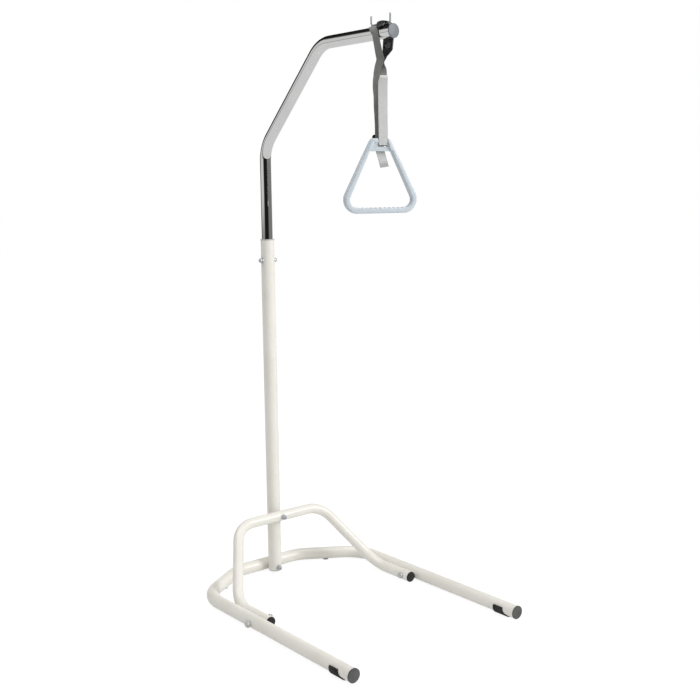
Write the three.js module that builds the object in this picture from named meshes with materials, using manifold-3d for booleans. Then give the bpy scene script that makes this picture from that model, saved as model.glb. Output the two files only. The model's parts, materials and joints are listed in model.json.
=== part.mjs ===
// Bed trapeze: bent-tube floor stand, telescopic bent mast, webbing strap and triangular grip.
// Millimetres, +Z up. The arm and the legs point along -Y. Pieces are drawn from the foot of the post,
// and the finished group is moved over the middle of its floor area.
import * as THREE from 'three';
import { mergeVertices } from 'three/addons/utils/BufferGeometryUtils.js';
import Module from 'manifold-3d';

// Clearances and cutting
const seatGap = 0.3;
const slideGap = 0.3;
const cutOverrun = 5;

// Floor frame
const baseTube = { diameter: 38, wall: 1.75 };
const legHalfSpread = 305;
const legFrontY = -770;
const rearHalfStraight = 119;
const rearSlant = THREE.MathUtils.degToRad(32);
const rearBendRadius = 96;
const cornerBendRadius = 125;
const pad = { thickness: 3, length: 57, frontInset: 25, wall: 2.6, lowLipLength: 17, footHalfWidth: 9 };
const glide = { diameter: 18, spigot: 8, spigotLength: 6, along: 96 };

// Post
const postTube = { diameter: 42, wall: 2 };
const postBottomZ = 12;
const postTopZ = 1078;
const postPlug = { flange: 2, spigotLength: 4, chamfer: 1.2 };
const topBush = { rim: 2.4, rimProud: 0.6, length: 34 };

// Arch over the floor frame
const archTube = { diameter: 32, wall: 1.75 };
const archTopZ = 199;
const archHalfTop = 160;
const archFootZ = 19;
const archFootCornerY = -190;
const archFootFrontY = -357;
const archTopBend = 80;
const archFootBend = 105;

// Chrome mast and arm
const mastTube = { diameter: 35, wall: 1.75 };
const mastBottomZ = 780;
const armZ = 1638;
const mastLowCornerShare = 0.5035714;
const mastLowCornerZ = postTopZ + (armZ - postTopZ) * mastLowCornerShare;
const armCornerY = -286;
const armEndY = -592;
const mastBendRadius = 100;
const lowerBush = { length: 22, lip: 1.6 };

// Plugs in the open tube ends
const plug = { spigot: 18, crown: 1.2 };
const armPlugFlange = { radius: 18.9, thickness: 3.2 };
const legPlugFlange = { radius: 19.7, thickness: 4.4 };
const archPlugFlange = { radius: 16.4, thickness: 3 };

// Fasteners
const bolt = { shank: 8, headFlats: 13, headHeight: 5.3, nutHeight: 6.5, threadEnd: 4.5, holeGap: 0.4 };
const washer = { diameter: 17, thickness: 1.6 };
const smallCap = { flats: 13, height: 5.5, dome: 4.5 };
const largeCap = { flats: 16.5, height: 6, dome: 4.5 };
const postBoltZ = 21.5;
const footBoltY = -330;
const footBoltZ = 20.5;
const heightBoltBelowTop = 63;
const heightPitch = 30;
const heightHoles = 7;

// Guide wire over the arm
const wire = { diameter: 4.6, bend: 6, rodRadius: 24.9, rodAngle: THREE.MathUtils.degToRad(15) };
const prongNearY = -497;
const prongFarY = -573;
const prongRise = 48;
const prongTopZ = armZ + prongRise;

// What hangs from the arm, by how far below the arm's middle line it lies
const waistDrop = 66;
const hemDrop = 102;
const clipDrop = { leanTop: 16, windowTop: 23, pin: 41.4, bottom: 59 };
const gripDrop = { top: 272, level: 358, bottom: 471 };
const hubDrop = { top: 276, pocketTop: 282, slotHigh: 285.5, slotLow: 294, bottom: 306 };
const lockDrop = { armTop: 261.5, pin: 286 };

// Webbing
const web = { width: 25, thickness: 1.6 };
const loopCrownY = -515.7;
const loopNearY = -542;
const loopWaistY = -539.2;
const waistZ = armZ - waistDrop;
const waistGap = 0.6;
const neckGap = 1.1;
const hemZ = armZ - hemDrop;
const tailLength = 42;

// Strap clip
const clip = {
  slack: 1.5, wall: 3.2, crownLeftY: -533.5, rightY: -567.5, lean: THREE.MathUtils.degToRad(15),
  windowY: -549, windowWidth: 24, cornerRadius: 7,
  leanTopZ: armZ - clipDrop.leanTop, windowTopZ: armZ - clipDrop.windowTop,
  pinZ: armZ - clipDrop.pin, bottomZ: armZ - clipDrop.bottom,
};
const clipLever = { pinDiameter: 1.8, knuckle: 2, sideGap: 0.4, thickness: 2.6 };

// Triangular grip, hung on the webbing and turned about the upright axis
const grip = {
  x: 0, y: -536, turn: THREE.MathUtils.degToRad(-18), thickness: 20, rounding: 5, barHeight: 16,
  bottomZ: armZ - gripDrop.bottom, topZ: armZ - gripDrop.top, levelZ: armZ - gripDrop.level,
  outerHalf: 67, innerHalf: 51, outerSlopeShare: 0.48, innerSlopeShare: 0.41,
  cornerRadius: 35, innerRadius: 20, shoulderRadius: 11, innerTopRadius: 5,
};
const hub = {
  thickness: 12, pocketRadius: 7, topZ: armZ - hubDrop.top, pocketTopZ: armZ - hubDrop.pocketTop,
  bottomZ: armZ - hubDrop.bottom,
};
const slot = { offset: 5.75, width: 28.5, lowZ: armZ - hubDrop.slotLow, highZ: armZ - hubDrop.slotHigh };
const ripple = { count: 10, pitch: 13, depth: 1.6 };
const lock = {
  offset: 1, width: 30, sideGap: 0.5, ear: 3.6, earRadius: 6, earRadiusShare: 0.9,
  pinZ: armZ - lockDrop.pin, pinDiameter: 4, cam: 7, armTopZ: armZ - lockDrop.armTop,
  armThickness: 5, armRadius: 6, teeth: 5, tooth: 0.9, toothPitch: THREE.MathUtils.degToRad(24),
};

// Facets
const tubeSides = 20;
const roundSides = 24;
const smallSides = 12;
const hexSides = 6;
const bevelSteps = 3;
const bandSteps = 4;
const bendStep = THREE.MathUtils.degToRad(12);
const weldShare = 1e-6;

const wasm = await Module();
wasm.setup();

const UP = new THREE.Vector3(0, 0, 1);
const quarter = Math.PI / 2;

const paint = { color: 0xe8e5de, roughness: 0.35, metalness: 0 };
const chrome = { color: 0xd8d8d8, roughness: 0.08, metalness: 1 };
const zinc = { color: 0xb9c0c6, roughness: 0.35, metalness: 0.9 };
const darkPlastic = { color: 0x4c4e50, roughness: 0.55, metalness: 0 };
const blackPlastic = { color: 0x1d1e20, roughness: 0.45, metalness: 0 };
const palePlastic = { color: 0xc9c8c4, roughness: 0.5, metalness: 0 };
const greyPlug = { color: 0x7f868d, roughness: 0.5, metalness: 0 };
const gripPlastic = { color: 0xccd5dc, roughness: 0.4, metalness: 0 };
const blackRubber = { color: 0x202020, roughness: 0.8, metalness: 0 };
const webbingDark = { color: 0x7c7c7a, roughness: 0.9, metalness: 0 };
const webbingLight = { color: 0xc2c3c0, roughness: 0.9, metalness: 0 };

// Closed geometry to solid: corners shared, flat triangles dropped, faces turned outwards
function solidOf(shape) {
  if (!shape.isBufferGeometry) return shape;
  const bare = shape.clone();
  for (const name of Object.keys(bare.attributes)) {
    if (name !== 'position') bare.deleteAttribute(name);
  }
  bare.computeBoundingSphere();
  const welded = mergeVertices(bare, bare.boundingSphere.radius * weldShare);
  const corners = Array.from(welded.index.array);
  const kept = [];
  for (let i = 0; i < corners.length; i += 3) {
    const [a, b, c] = corners.slice(i, i + 3);
    if (a !== b && b !== c && c !== a) kept.push(a, b, c);
  }
  const vertProperties = new Float32Array(welded.attributes.position.array);
  const build = (triVerts) => new wasm.Manifold(new wasm.Mesh({ numProp: 3, vertProperties, triVerts }));
  const solid = build(new Uint32Array(kept));
  return solid.volume() > 0 ? solid : build(new Uint32Array(kept).reverse());
}

function geometryOf(solid) {
  const mesh = solid.getMesh();
  const geometry = new THREE.BufferGeometry();
  geometry.setAttribute('position', new THREE.BufferAttribute(new Float32Array(mesh.vertProperties), 3));
  geometry.setIndex(new THREE.BufferAttribute(new Uint32Array(mesh.triVerts), 1));
  geometry.computeVertexNormals();
  return geometry;
}

function cut(body, ...cutters) {
  return cutters.reduce((left, cutter) => left.subtract(solidOf(cutter)), solidOf(body));
}

function join(body, ...others) {
  return others.reduce((whole, other) => whole.add(solidOf(other)), solidOf(body));
}

function v(x, y, z) {
  return new THREE.Vector3(x, y, z);
}

function p(x, y) {
  return new THREE.Vector2(x, y);
}

// A round bar along X, Y or Z, centred on a point
function bar(axis, radius, length, centre, sides = smallSides) {
  const geometry = new THREE.CylinderGeometry(radius, radius, length, sides);
  if (axis === 'x') geometry.rotateZ(-quarter);
  if (axis === 'z') geometry.rotateX(quarter);
  return geometry.translate(centre.x, centre.y, centre.z);
}

function block(low, high) {
  const size = high.clone().sub(low);
  const centre = low.clone().lerp(high, 1 / 2);
  return new THREE.BoxGeometry(size.x, size.y, size.z).translate(centre.x, centre.y, centre.z);
}

// A turned piece about Z from a profile of radius and height
function turned(profile, sides = roundSides) {
  return new THREE.LatheGeometry(profile.map(([r, h]) => p(r, h)), sides).rotateX(quarter);
}

function ringProfile(inner, outer, low, high) {
  return [[inner, low], [outer, low], [outer, high], [inner, high], [inner, low]];
}

// A centreline of straight runs joined by round bends, with stations only where it turns
class BentPath extends THREE.Curve {
  constructor(corners, radii) {
    super();
    const directions = corners.slice(1).map((corner, i) => corner.clone().sub(corners[i]).normalize());
    this.stations = [{ point: corners[0], along: directions[0] }];
    radii.forEach((radius, i) => {
      const before = directions[i];
      const after = directions[i + 1];
      const turn = before.angleTo(after);
      const start = corners[i + 1].clone().addScaledVector(before, -radius * Math.tan(turn / 2));
      const inward = after.clone().addScaledVector(before, -before.dot(after)).normalize();
      const centre = start.clone().addScaledVector(inward, radius);
      const count = Math.ceil(turn / bendStep);
      for (let k = 0; k <= count; k += 1) {
        const angle = turn * k / count;
        const out = inward.clone().multiplyScalar(-Math.cos(angle)).addScaledVector(before, Math.sin(angle));
        const along = before.clone().multiplyScalar(Math.cos(angle)).addScaledVector(inward, Math.sin(angle));
        this.stations.push({ point: centre.clone().addScaledVector(out, radius), along });
      }
    });
    this.stations.push({ point: corners.at(-1), along: directions.at(-1) });
  }

  get steps() {
    return this.stations.length - 1;
  }

  getUtoTmapping(u) {
    return u;
  }

  getPoint(t, target = new THREE.Vector3()) {
    return target.copy(this.stations[Math.round(t * this.steps)].point);
  }

  getTangent(t, target = new THREE.Vector3()) {
    return target.copy(this.stations[Math.round(t * this.steps)].along);
  }
}

function tubeAlong(path, tube, sides = tubeSides) {
  const section = new THREE.Shape().absarc(0, 0, tube.diameter / 2, 0, 2 * Math.PI, false);
  if (tube.wall) {
    section.holes.push(new THREE.Path().absarc(0, 0, tube.diameter / 2 - tube.wall, 0, 2 * Math.PI, true));
  }
  const settings = { steps: path.steps, extrudePath: path, curveSegments: sides / 2 };
  return new THREE.ExtrudeGeometry(section, settings);
}

// The points of a flat outline whose corners are rounded
function roundedOutline(corners, radii) {
  return corners.flatMap((corner, i) => {
    if (radii[i] === 0) return [corner];
    const before = corner.clone().sub(corners.at(i - 1)).normalize();
    const after = corners[(i + 1) % corners.length].clone().sub(corner).normalize();
    const turn = Math.atan2(before.cross(after), before.dot(after));
    const side = p(-before.y, before.x).multiplyScalar(Math.sign(turn));
    const start = corner.clone().addScaledVector(before, -radii[i] * Math.tan(Math.abs(turn) / 2));
    const centre = start.clone().addScaledVector(side, radii[i]);
    const count = Math.ceil(Math.abs(turn) / (2 * bendStep));
    return Array.from({ length: count + 1 }, (_, k) => {
      const angle = Math.abs(turn) * k / count;
      return centre.clone().addScaledVector(side, -radii[i] * Math.cos(angle))
        .addScaledVector(before, radii[i] * Math.sin(angle));
    });
  });
}

function flatSlab(points, depth) {
  return new THREE.ExtrudeGeometry(new THREE.Shape(points), { depth, bevelEnabled: false }).rotateX(quarter);
}

// An outline drawn in Y and Z, given a thickness along X
function slabAcrossX(points, lowX, highX) {
  return flatSlab(points, highX - lowX).rotateZ(quarter).translate(lowX, 0, 0);
}

// An outline drawn in X and Z, given a thickness along Y
function slabAcrossY(points, lowY, highY) {
  return flatSlab(points, highY - lowY).translate(0, highY, 0);
}

// A woven band: a flat section carried through stations, each a point and the way its face looks
function band(stations) {
  const corners = [];
  const index = [];
  stations.forEach(({ point, facing }, i) => {
    const next = stations[Math.min(i + 1, stations.length - 1)].point;
    const last = stations[Math.max(i - 1, 0)].point;
    const along = next.clone().sub(last).normalize();
    const across = along.clone().cross(facing).normalize();
    const out = across.clone().cross(along).normalize();
    for (const [a, o] of [[-1, -1], [1, -1], [1, 1], [-1, 1]]) {
      const corner = point.clone().addScaledVector(across, a * web.width / 2)
        .addScaledVector(out, o * web.thickness / 2);
      corners.push(corner.x, corner.y, corner.z);
    }
    if (i === 0) return;
    for (let k = 0; k < 4; k += 1) {
      const a = 4 * (i - 1) + k;
      const b = 4 * (i - 1) + (k + 1) % 4;
      index.push(a, b, b + 4, a, b + 4, a + 4);
    }
  });
  const end = 4 * (stations.length - 1);
  index.push(0, 2, 1, 0, 3, 2, end, end + 1, end + 2, end, end + 2, end + 3);
  const geometry = new THREE.BufferGeometry();
  geometry.setAttribute('position', new THREE.Float32BufferAttribute(corners, 3));
  geometry.setIndex(index);
  return geometry;
}

// A smooth run of stations through a few set ones
function smoothStations(keys) {
  const curve = new THREE.CatmullRomCurve3(keys.map((key) => key.point), false, 'centripetal');
  const spans = keys.length - 1;
  return Array.from({ length: spans * bandSteps + 1 }, (_, i) => {
    const span = Math.min(Math.floor(i / bandSteps), spans - 1);
    const share = i / bandSteps - span;
    const facing = keys[span].facing.clone().lerp(keys[span + 1].facing, share).normalize();
    return { point: curve.getPoint(i / (spans * bandSteps)), facing };
  });
}

const group = new THREE.Group();

function add(name, shape, look) {
  const mesh = new THREE.Mesh(geometryOf(solidOf(shape)), new THREE.MeshStandardMaterial(look));
  mesh.name = name;
  group.add(mesh);
}

// Places that follow from the tubes lying against each other
const baseRadius = baseTube.diameter / 2;
const baseZ = pad.thickness + baseRadius;
const postRadius = postTube.diameter / 2;
const postBore = postRadius - postTube.wall;
const archRadius = archTube.diameter / 2;
const mastRadius = mastTube.diameter / 2;
const rearBarY = postRadius + baseRadius + seatGap;
const archBarY = -(postRadius + archRadius + seatGap);
const archFootX = legHalfSpread - baseRadius - archRadius - seatGap;
const rearCornerY = rearBarY - (legHalfSpread - rearHalfStraight) * Math.tan(rearSlant);
const heightBoltZ = postTopZ - heightBoltBelowTop;
const boltHole = bolt.shank / 2 + bolt.holeGap;
const sides = [['left', -1], ['right', 1]];

// Floor frame: one tube bent into a wide U, its back slanting forward to both corners
function baseFrame() {
  const path = new BentPath([
    v(-legHalfSpread, legFrontY, baseZ), v(-legHalfSpread, rearCornerY, baseZ),
    v(-rearHalfStraight, rearBarY, baseZ), v(rearHalfStraight, rearBarY, baseZ),
    v(legHalfSpread, rearCornerY, baseZ), v(legHalfSpread, legFrontY, baseZ),
  ], [cornerBendRadius, rearBendRadius, rearBendRadius, cornerBendRadius]);
  const long = 2 * baseTube.diameter;
  const footHoles = sides.map(([, s]) => (
    bar('x', boltHole, long, v(s * legHalfSpread, footBoltY, footBoltZ))
  ));
  const glideHoles = sides.map(([, s]) => (
    bar('z', glide.spigot / 2 + seatGap, 2 * baseRadius, glidePlace(s))
  ));
  const postHole = bar('y', boltHole, long, v(0, rearBarY, postBoltZ));
  return cut(tubeAlong(path, baseTube), ...footHoles, ...glideHoles, postHole);
}

// Glides stand under the slanting stretches of the back
function glidePlace(side) {
  const out = rearHalfStraight + glide.along * Math.cos(rearSlant);
  return v(side * out, rearBarY - glide.along * Math.sin(rearSlant), 0);
}

function glideFoot(side) {
  const top = pad.thickness - seatGap;
  const disc = turned([[0, 0], [glide.diameter / 2, 0], [glide.diameter / 2, top], [0, top]], smallSides);
  const spigot = bar('z', glide.spigot / 2, glide.spigotLength, v(0, 0, glide.spigotLength / 2));
  const place = glidePlace(side);
  return geometryOf(join(disc, spigot)).translate(place.x, place.y, place.z);
}

function post() {
  const long = 2 * postTube.diameter;
  return cut(
    turned(ringProfile(postBore, postRadius, postBottomZ, postTopZ)),
    bar('y', boltHole, long, v(0, 0, postBoltZ)),
    bar('y', boltHole, long, v(0, 0, archTopZ)),
    bar('x', boltHole, long, v(0, 0, heightBoltZ)),
  );
}

// Arch: level bar on the post's front, legs slanting out, forward and down, feet inside the frame's legs
function arch() {
  const path = new BentPath([
    v(-archFootX, archFootFrontY, archFootZ), v(-archFootX, archFootCornerY, archFootZ),
    v(-archHalfTop, archBarY, archTopZ), v(archHalfTop, archBarY, archTopZ),
    v(archFootX, archFootCornerY, archFootZ), v(archFootX, archFootFrontY, archFootZ),
  ], [archFootBend, archTopBend, archTopBend, archFootBend]);
  const long = 2 * archTube.diameter;
  const footHoles = sides.map(([, s]) => bar('x', boltHole, long, v(s * archFootX, footBoltY, footBoltZ)));
  return cut(tubeAlong(path, archTube), ...footHoles, bar('y', boltHole, long, v(0, archBarY, archTopZ)));
}

// A push-in plug for a tube end that faces -Y: a crowned flange and a spigot
function tubePlug(tube, flange, x, endY, z) {
  const bore = tube.diameter / 2 - tube.wall - seatGap;
  const edge = flange.thickness - plug.crown;
  const profile = [
    [0, -plug.spigot], [bore, -plug.spigot], [bore, seatGap], [flange.radius, seatGap], [flange.radius, edge],
    [flange.radius - plug.crown, flange.thickness], [0, flange.thickness + plug.crown / 2],
  ];
  return turned(profile).rotateX(quarter).translate(x, endY, z);
}

// A rubber saddle under a leg: high flanks behind, a low lip in front, flat under its middle
function legPad(side) {
  const x = side * legHalfSpread;
  const front = legFrontY + pad.frontInset;
  const back = front + pad.length;
  const bore = baseRadius + seatGap;
  const outer = bore + pad.wall;
  const over = 2 * outer;
  const middle = v(x, (front + back) / 2, baseZ);
  const shell = join(
    bar('y', outer, pad.length, middle, roundSides),
    block(v(x - pad.footHalfWidth, front, 0), v(x + pad.footHalfWidth, back, baseRadius / 2)),
  );
  const upperHalf = block(v(x - over, front - over, baseZ), v(x + over, back + over, baseZ + over));
  const lipNotch = block(
    v(x - over, front - over, baseZ - outer / 2), v(x + over, front + pad.lowLipLength, baseZ + over),
  );
  return cut(shell, bar('y', bore, 2 * pad.length, middle, roundSides), upperHalf, lipNotch);
}

function postFootPlug() {
  const bore = postBore - seatGap;
  const low = postBottomZ - postPlug.flange;
  const seat = postBottomZ - seatGap;
  const top = postBottomZ + postPlug.spigotLength;
  return turned([
    [0, low], [postRadius - postPlug.chamfer, low], [postRadius, low + postPlug.chamfer],
    [postRadius, seat], [bore, seat], [bore, top], [0, top],
  ]);
}

// The bush that guides the mast in the post's mouth, with a thin rim on top
function postTopBush() {
  const inner = mastRadius + slideGap;
  const outer = postBore - seatGap / 2;
  const rim = postRadius + topBush.rimProud;
  const seat = postTopZ + seatGap;
  const top = seat + topBush.rim;
  const low = postTopZ - topBush.length;
  return turned([
    [inner, low], [outer, low], [outer, seat], [rim, seat], [rim, top], [inner, top], [inner, low],
  ]);
}

// A hexagon along +Z from zero, with an optional dome on its far face
function hexagon(flats, height, dome = 0) {
  const radius = flats / Math.sqrt(3);
  const prism = new THREE.CylinderGeometry(radius, radius, height, hexSides);
  const body = prism.rotateX(quarter).translate(0, 0, height / 2);
  if (dome === 0) return solidOf(body);
  const share = Math.SQRT1_2;
  const r = flats / 2;
  return join(body, turned([
    [0, height / 2], [r, height / 2], [r, height], [r * share, height + dome * share], [0, height + dome],
  ], smallSides));
}

// A bolt along +Z: its head lies below zero, its shank above
function boltAlong(length, cap) {
  const head = cap
    ? hexagon(cap.flats, cap.height, cap.dome)
    : hexagon(bolt.headFlats, bolt.headHeight);
  const below = cap ? cap.height : bolt.headHeight;
  const shank = bar('z', bolt.shank / 2, length + below / 2, v(0, 0, (length - below / 2) / 2));
  return join(geometryOf(head).rotateX(2 * quarter), shank);
}

function nutAlong(cap) {
  const body = cap ? hexagon(cap.flats, cap.height, cap.dome) : hexagon(bolt.headFlats, bolt.nutHeight);
  const deep = cap ? cap.height : bolt.nutHeight + cutOverrun;
  return cut(body, bar('z', bolt.shank / 2 + seatGap, 2 * deep, v(0, 0, 0)));
}

// Sets a piece made along +Z so that it points along a direction from a place
function placed(shape, direction, place) {
  const geometry = geometryOf(solidOf(shape));
  geometry.applyQuaternion(new THREE.Quaternion().setFromUnitVectors(UP, direction));
  return geometry.translate(place.x, place.y, place.z);
}

// Bolt, washers and nut through a stack of tubes, from the head's side to the nut's side
function fastener(names, direction, headFace, nutFace, cap) {
  const ring = turned(ringProfile(bolt.shank / 2 + seatGap, washer.diameter / 2, 0, washer.thickness));
  const layer = washer.thickness + seatGap;
  const headGap = names.headWasher ? layer + seatGap : seatGap;
  const under = headFace.clone().addScaledVector(direction, -headGap);
  const beyond = nutFace.clone().addScaledVector(direction, seatGap);
  const nutSeat = beyond.clone().addScaledVector(direction, layer);
  const reach = cap ? cap.height - seatGap : bolt.nutHeight + bolt.threadEnd;
  add(names.bolt, placed(boltAlong(under.distanceTo(nutSeat) + reach, cap), direction, under), zinc);
  if (names.headWasher) {
    add(names.headWasher, placed(ring, direction, under.clone().addScaledVector(direction, seatGap)), zinc);
  }
  add(names.washer, placed(ring, direction, beyond), zinc);
  add(names.nut, placed(nutAlong(cap), direction, nutSeat), zinc);
}

// Mast: upright chrome tube, two bends, level arm, and a row of height holes near its foot
function mast() {
  const path = new BentPath([
    v(0, 0, mastBottomZ), v(0, 0, mastLowCornerZ), v(0, armCornerY, armZ), v(0, armEndY, armZ),
  ], [mastBendRadius, mastBendRadius]);
  const holes = Array.from({ length: heightHoles }, (_, i) => bar(
    'x', boltHole, 2 * mastTube.diameter, v(0, 0, heightBoltZ - i * heightPitch),
  ));
  return cut(tubeAlong(path, mastTube), ...holes);
}

// The bush on the mast's foot: a sleeve outside and a lip under the tube's end
function mastLowerBush() {
  const inner = mastRadius - mastTube.wall;
  const outer = postBore - slideGap;
  const snug = mastRadius + seatGap / 2;
  const seat = mastBottomZ - seatGap;
  const low = seat - lowerBush.lip;
  const top = mastBottomZ + lowerBush.length;
  return turned([
    [inner, low], [outer, low], [outer, top], [snug, top], [snug, seat], [inner, seat], [inner, low],
  ]);
}

// Guide wire: a rod over the strap with an upright prong and a welded foot at each end
function strapGuide() {
  const x = wire.rodRadius * Math.sin(wire.rodAngle);
  const rodZ = armZ + wire.rodRadius * Math.cos(wire.rodAngle);
  const path = new BentPath([
    v(x, prongNearY, prongTopZ), v(x, prongNearY, rodZ), v(x, prongFarY, rodZ), v(x, prongFarY, prongTopZ),
  ], [wire.bend, wire.bend]);
  const feet = [prongNearY - wire.bend / 2, prongFarY + wire.bend / 2].map((y) => bar(
    'z', wire.diameter / 2, rodZ - armZ, v(x, y, (rodZ + armZ) / 2),
  ));
  const rodMiddle = v(0, (prongNearY + prongFarY) / 2, armZ);
  const tube = bar('y', mastRadius + seatGap, 2 * (prongNearY - prongFarY), rodMiddle, 2 * roundSides);
  return cut(join(tubeAlong(path, wire, smallSides), ...feet), tube);
}

// A level direction by its compass angle from +X
function level(degrees) {
  const angle = THREE.MathUtils.degToRad(degrees);
  return v(Math.cos(angle), Math.sin(angle), 0);
}

// A station round the arm: angle from straight up towards +X, radius and Y
function roundArm(degrees, radius, y) {
  const angle = THREE.MathUtils.degToRad(degrees);
  const facing = v(Math.sin(angle), 0, Math.cos(angle));
  return { point: v(radius * facing.x, y, armZ + radius * facing.z), facing };
}

const snugRadius = mastRadius + seatGap + web.thickness / 2 + seatGap;
const clipInner = mastRadius + web.thickness + clip.slack;
const clipOuter = clipInner + clip.wall;
const proudRadius = clipOuter + 3 * seatGap + web.thickness / 2;
const bumpInner = wire.rodRadius + wire.diameter / 2 + slideGap;

// The clip's outer face, and so the webbing outside it, leans in below the arm
function besideClip(z) {
  return proudRadius - Math.max(0, clip.leanTopZ - z) * Math.tan(clip.lean);
}

// Grip directions: along its width and out of its front
const gripAcross = v(Math.cos(grip.turn), Math.sin(grip.turn), 0);
const gripOut = v(Math.sin(grip.turn), -Math.cos(grip.turn), 0);
const gripDegrees = 270 + THREE.MathUtils.radToDeg(grip.turn);

function gripPoint(across, out, z) {
  return v(grip.x, grip.y, z).addScaledVector(gripAcross, across).addScaledVector(gripOut, out);
}

// A station of the webbing below the waist, in shares of its width, and its facing in degrees
function atGrip(across, out, down, degrees) {
  return {
    point: gripPoint(web.width * across, web.width * out, waistZ - web.width * down), facing: level(degrees),
  };
}

const hubFace = hub.thickness / 2;
const beltOut = hubFace + seatGap + web.thickness / 2;
const beltAcross = slot.offset + (slot.width - web.width) / 4;
const seamOut = beltOut - web.thickness - seatGap;

// The webbing's run below the waist: past the front strap's edge, behind it and down to the lock
function rearKeys() {
  const rowShares = [
    [0, -0.3, 5.28, 238], [-0.12, -0.2, 3.88, 205], [-0.26, -0.38, 2.68, 180], [-0.41, -0.08, 2.08, 172],
    [-0.37, 0.04, 1.84, 178], [-0.29, 0.08, 1.44, 189], [-0.17, 0.12, 0.76, 188], [0.04, 0.12, 0.03, 192],
  ];
  const atLock = [lock.pinZ, lock.armTopZ + web.width].map((z) => ({
    point: gripPoint(lock.offset, -beltOut, z), facing: level(gripDegrees),
  }));
  return [...atLock, ...rowShares.map((row) => atGrip(...row))];
}

// Up the near side, leaning out until it meets the arm
function nearKeys() {
  const lean = Math.asin(snugRadius / (armZ - waistZ));
  const rowShares = [[0.2, 190], [0.5, 186], [0.8, 183]];
  return rowShares.map(([share, degrees]) => {
    const rise = (armZ - waistZ) * share;
    return {
      point: v(-rise * Math.tan(lean), loopWaistY + (loopNearY - loopWaistY) * share, waistZ + rise),
      facing: level(degrees),
    };
  });
}

// Aslant over the arm: angle from straight up, lift off the arm and shift along it
function overKeys() {
  const rowShares = [[-100, 0.98], [-78, 0.88], [-55, 0.62], [-30, 0.32], [-8, 0.06]];
  const near = rowShares.map(([angle, share]) => roundArm(
    angle, snugRadius, loopCrownY + (loopNearY - loopCrownY) * share,
  ));
  const farShares = [[14, 0, 0], [36, 0.25, 0.05], [60, 0.96, 0.14], [86, 1, 0.32]];
  const far = farShares.map(([angle, lift, share]) => roundArm(
    angle, snugRadius + (proudRadius - snugRadius) * lift, loopCrownY + (clip.windowY - loopCrownY) * share,
  ));
  return [...near, ...far];
}

// Down outside the clip and in to the waist
function fallKeys() {
  const rowShares = [[0.78, 0.72, 0], [0.54, 0.98, 0], [0.32, 0.84, 2], [0.14, 0.66, 8]];
  return rowShares.map(([height, share, degrees]) => {
    const z = waistZ + (armZ - waistZ) * height;
    const dip = z < clip.leanTopZ ? -Math.tan(clip.lean) : 0;
    return {
      point: v(besideClip(z), loopCrownY + (clip.windowY - loopCrownY) * share, z),
      facing: level(degrees).addScaledVector(UP, dip).normalize(),
    };
  });
}

// The far leg below the waist, down to its seam behind the front strap
function neckKeys() {
  const rowShares = [
    [0.31, -0.22, 0.03, 12], [0.24, -0.29, 0.2, 15], [0.32, -0.4, 0.76, 32], [0.32, -0.12, 1.08, 52],
    [0.31, 0.1, 1.44, 72],
  ];
  const seamShares = [0.4, 0.6];
  const seam = seamShares.map((share) => ({
    point: gripPoint(beltAcross, seamOut, hemZ - web.width * share), facing: level(gripDegrees - 180),
  }));
  return [...rowShares.map((row) => atGrip(...row)), ...seam];
}

// One webbing from the lock over the arm to its seam, cut level at the waist
const rearRun = rearKeys();
const loopRun = [...nearKeys(), ...overKeys(), ...fallKeys()];
const webbingRun = smoothStations([...rearRun, ...loopRun, ...neckKeys()]);
const waistReach = 2 * web.width;

function webbingBetween(firstKey, lastKey) {
  return band(webbingRun.slice(firstKey * bandSteps, lastKey * bandSteps + 1));
}

function waistBlock(low, high) {
  return block(v(-waistReach, grip.y - waistReach, low), v(waistReach, grip.y + waistReach, high));
}

function strapLoop() {
  const below = waistBlock(waistZ - waistReach, waistZ + waistGap / 2);
  return cut(webbingBetween(rearRun.length - 2, rearRun.length + loopRun.length + 1), below);
}

function strapRear() {
  return cut(webbingBetween(0, rearRun.length + 1), waistBlock(waistZ - waistGap / 2, waistZ + waistReach));
}

function strapNeck() {
  const start = rearRun.length + loopRun.length - 2;
  const above = waistBlock(waistZ - neckGap, waistZ + waistReach);
  const end = rearRun.length + loopRun.length + neckKeys().length - 1;
  return cut(webbingBetween(start, end), above, turnedCorner());
}

// The top corner of the front strap and of its seam, turned in where the near webbing passes
function turnedCorner() {
  const far = beltAcross - web.width;
  const left = beltAcross - web.width / 2 - seatGap;
  const slopeShares = [0.28, 0.66];
  const outline = [
    p(left, hemZ - web.width * slopeShares[1]), p(left + web.width * slopeShares[0], hemZ - seatGap),
    p(left + web.width * slopeShares[0], hemZ + cutOverrun), p(far, hemZ + cutOverrun),
    p(far, hemZ - web.width * slopeShares[1]),
  ];
  return hungGrip(slabAcrossY(outline, -2 * beltOut, -(seamOut - web.thickness / 2 - seatGap)));
}

// The front strap: a hemmed top, straight down before the grip and back into the slot
function strapFront() {
  const forward = level(gripDegrees);
  const inSlotZ = (slot.lowZ + slot.highZ) / 2;
  const bendZ = slot.highZ + (beltOut - hubFace);
  const whole = band(smoothStations([
    { point: gripPoint(beltAcross, beltOut, hemZ), facing: forward },
    { point: gripPoint(beltAcross, beltOut, (hemZ + bendZ) / 2), facing: forward },
    { point: gripPoint(beltAcross, beltOut, bendZ), facing: forward },
    { point: gripPoint(beltAcross, hubFace - seatGap, inSlotZ), facing: forward.clone().sub(UP) },
    { point: gripPoint(beltAcross, 0, inSlotZ), facing: UP.clone().negate() },
  ]));
  return cut(whole, turnedCorner());
}

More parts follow.
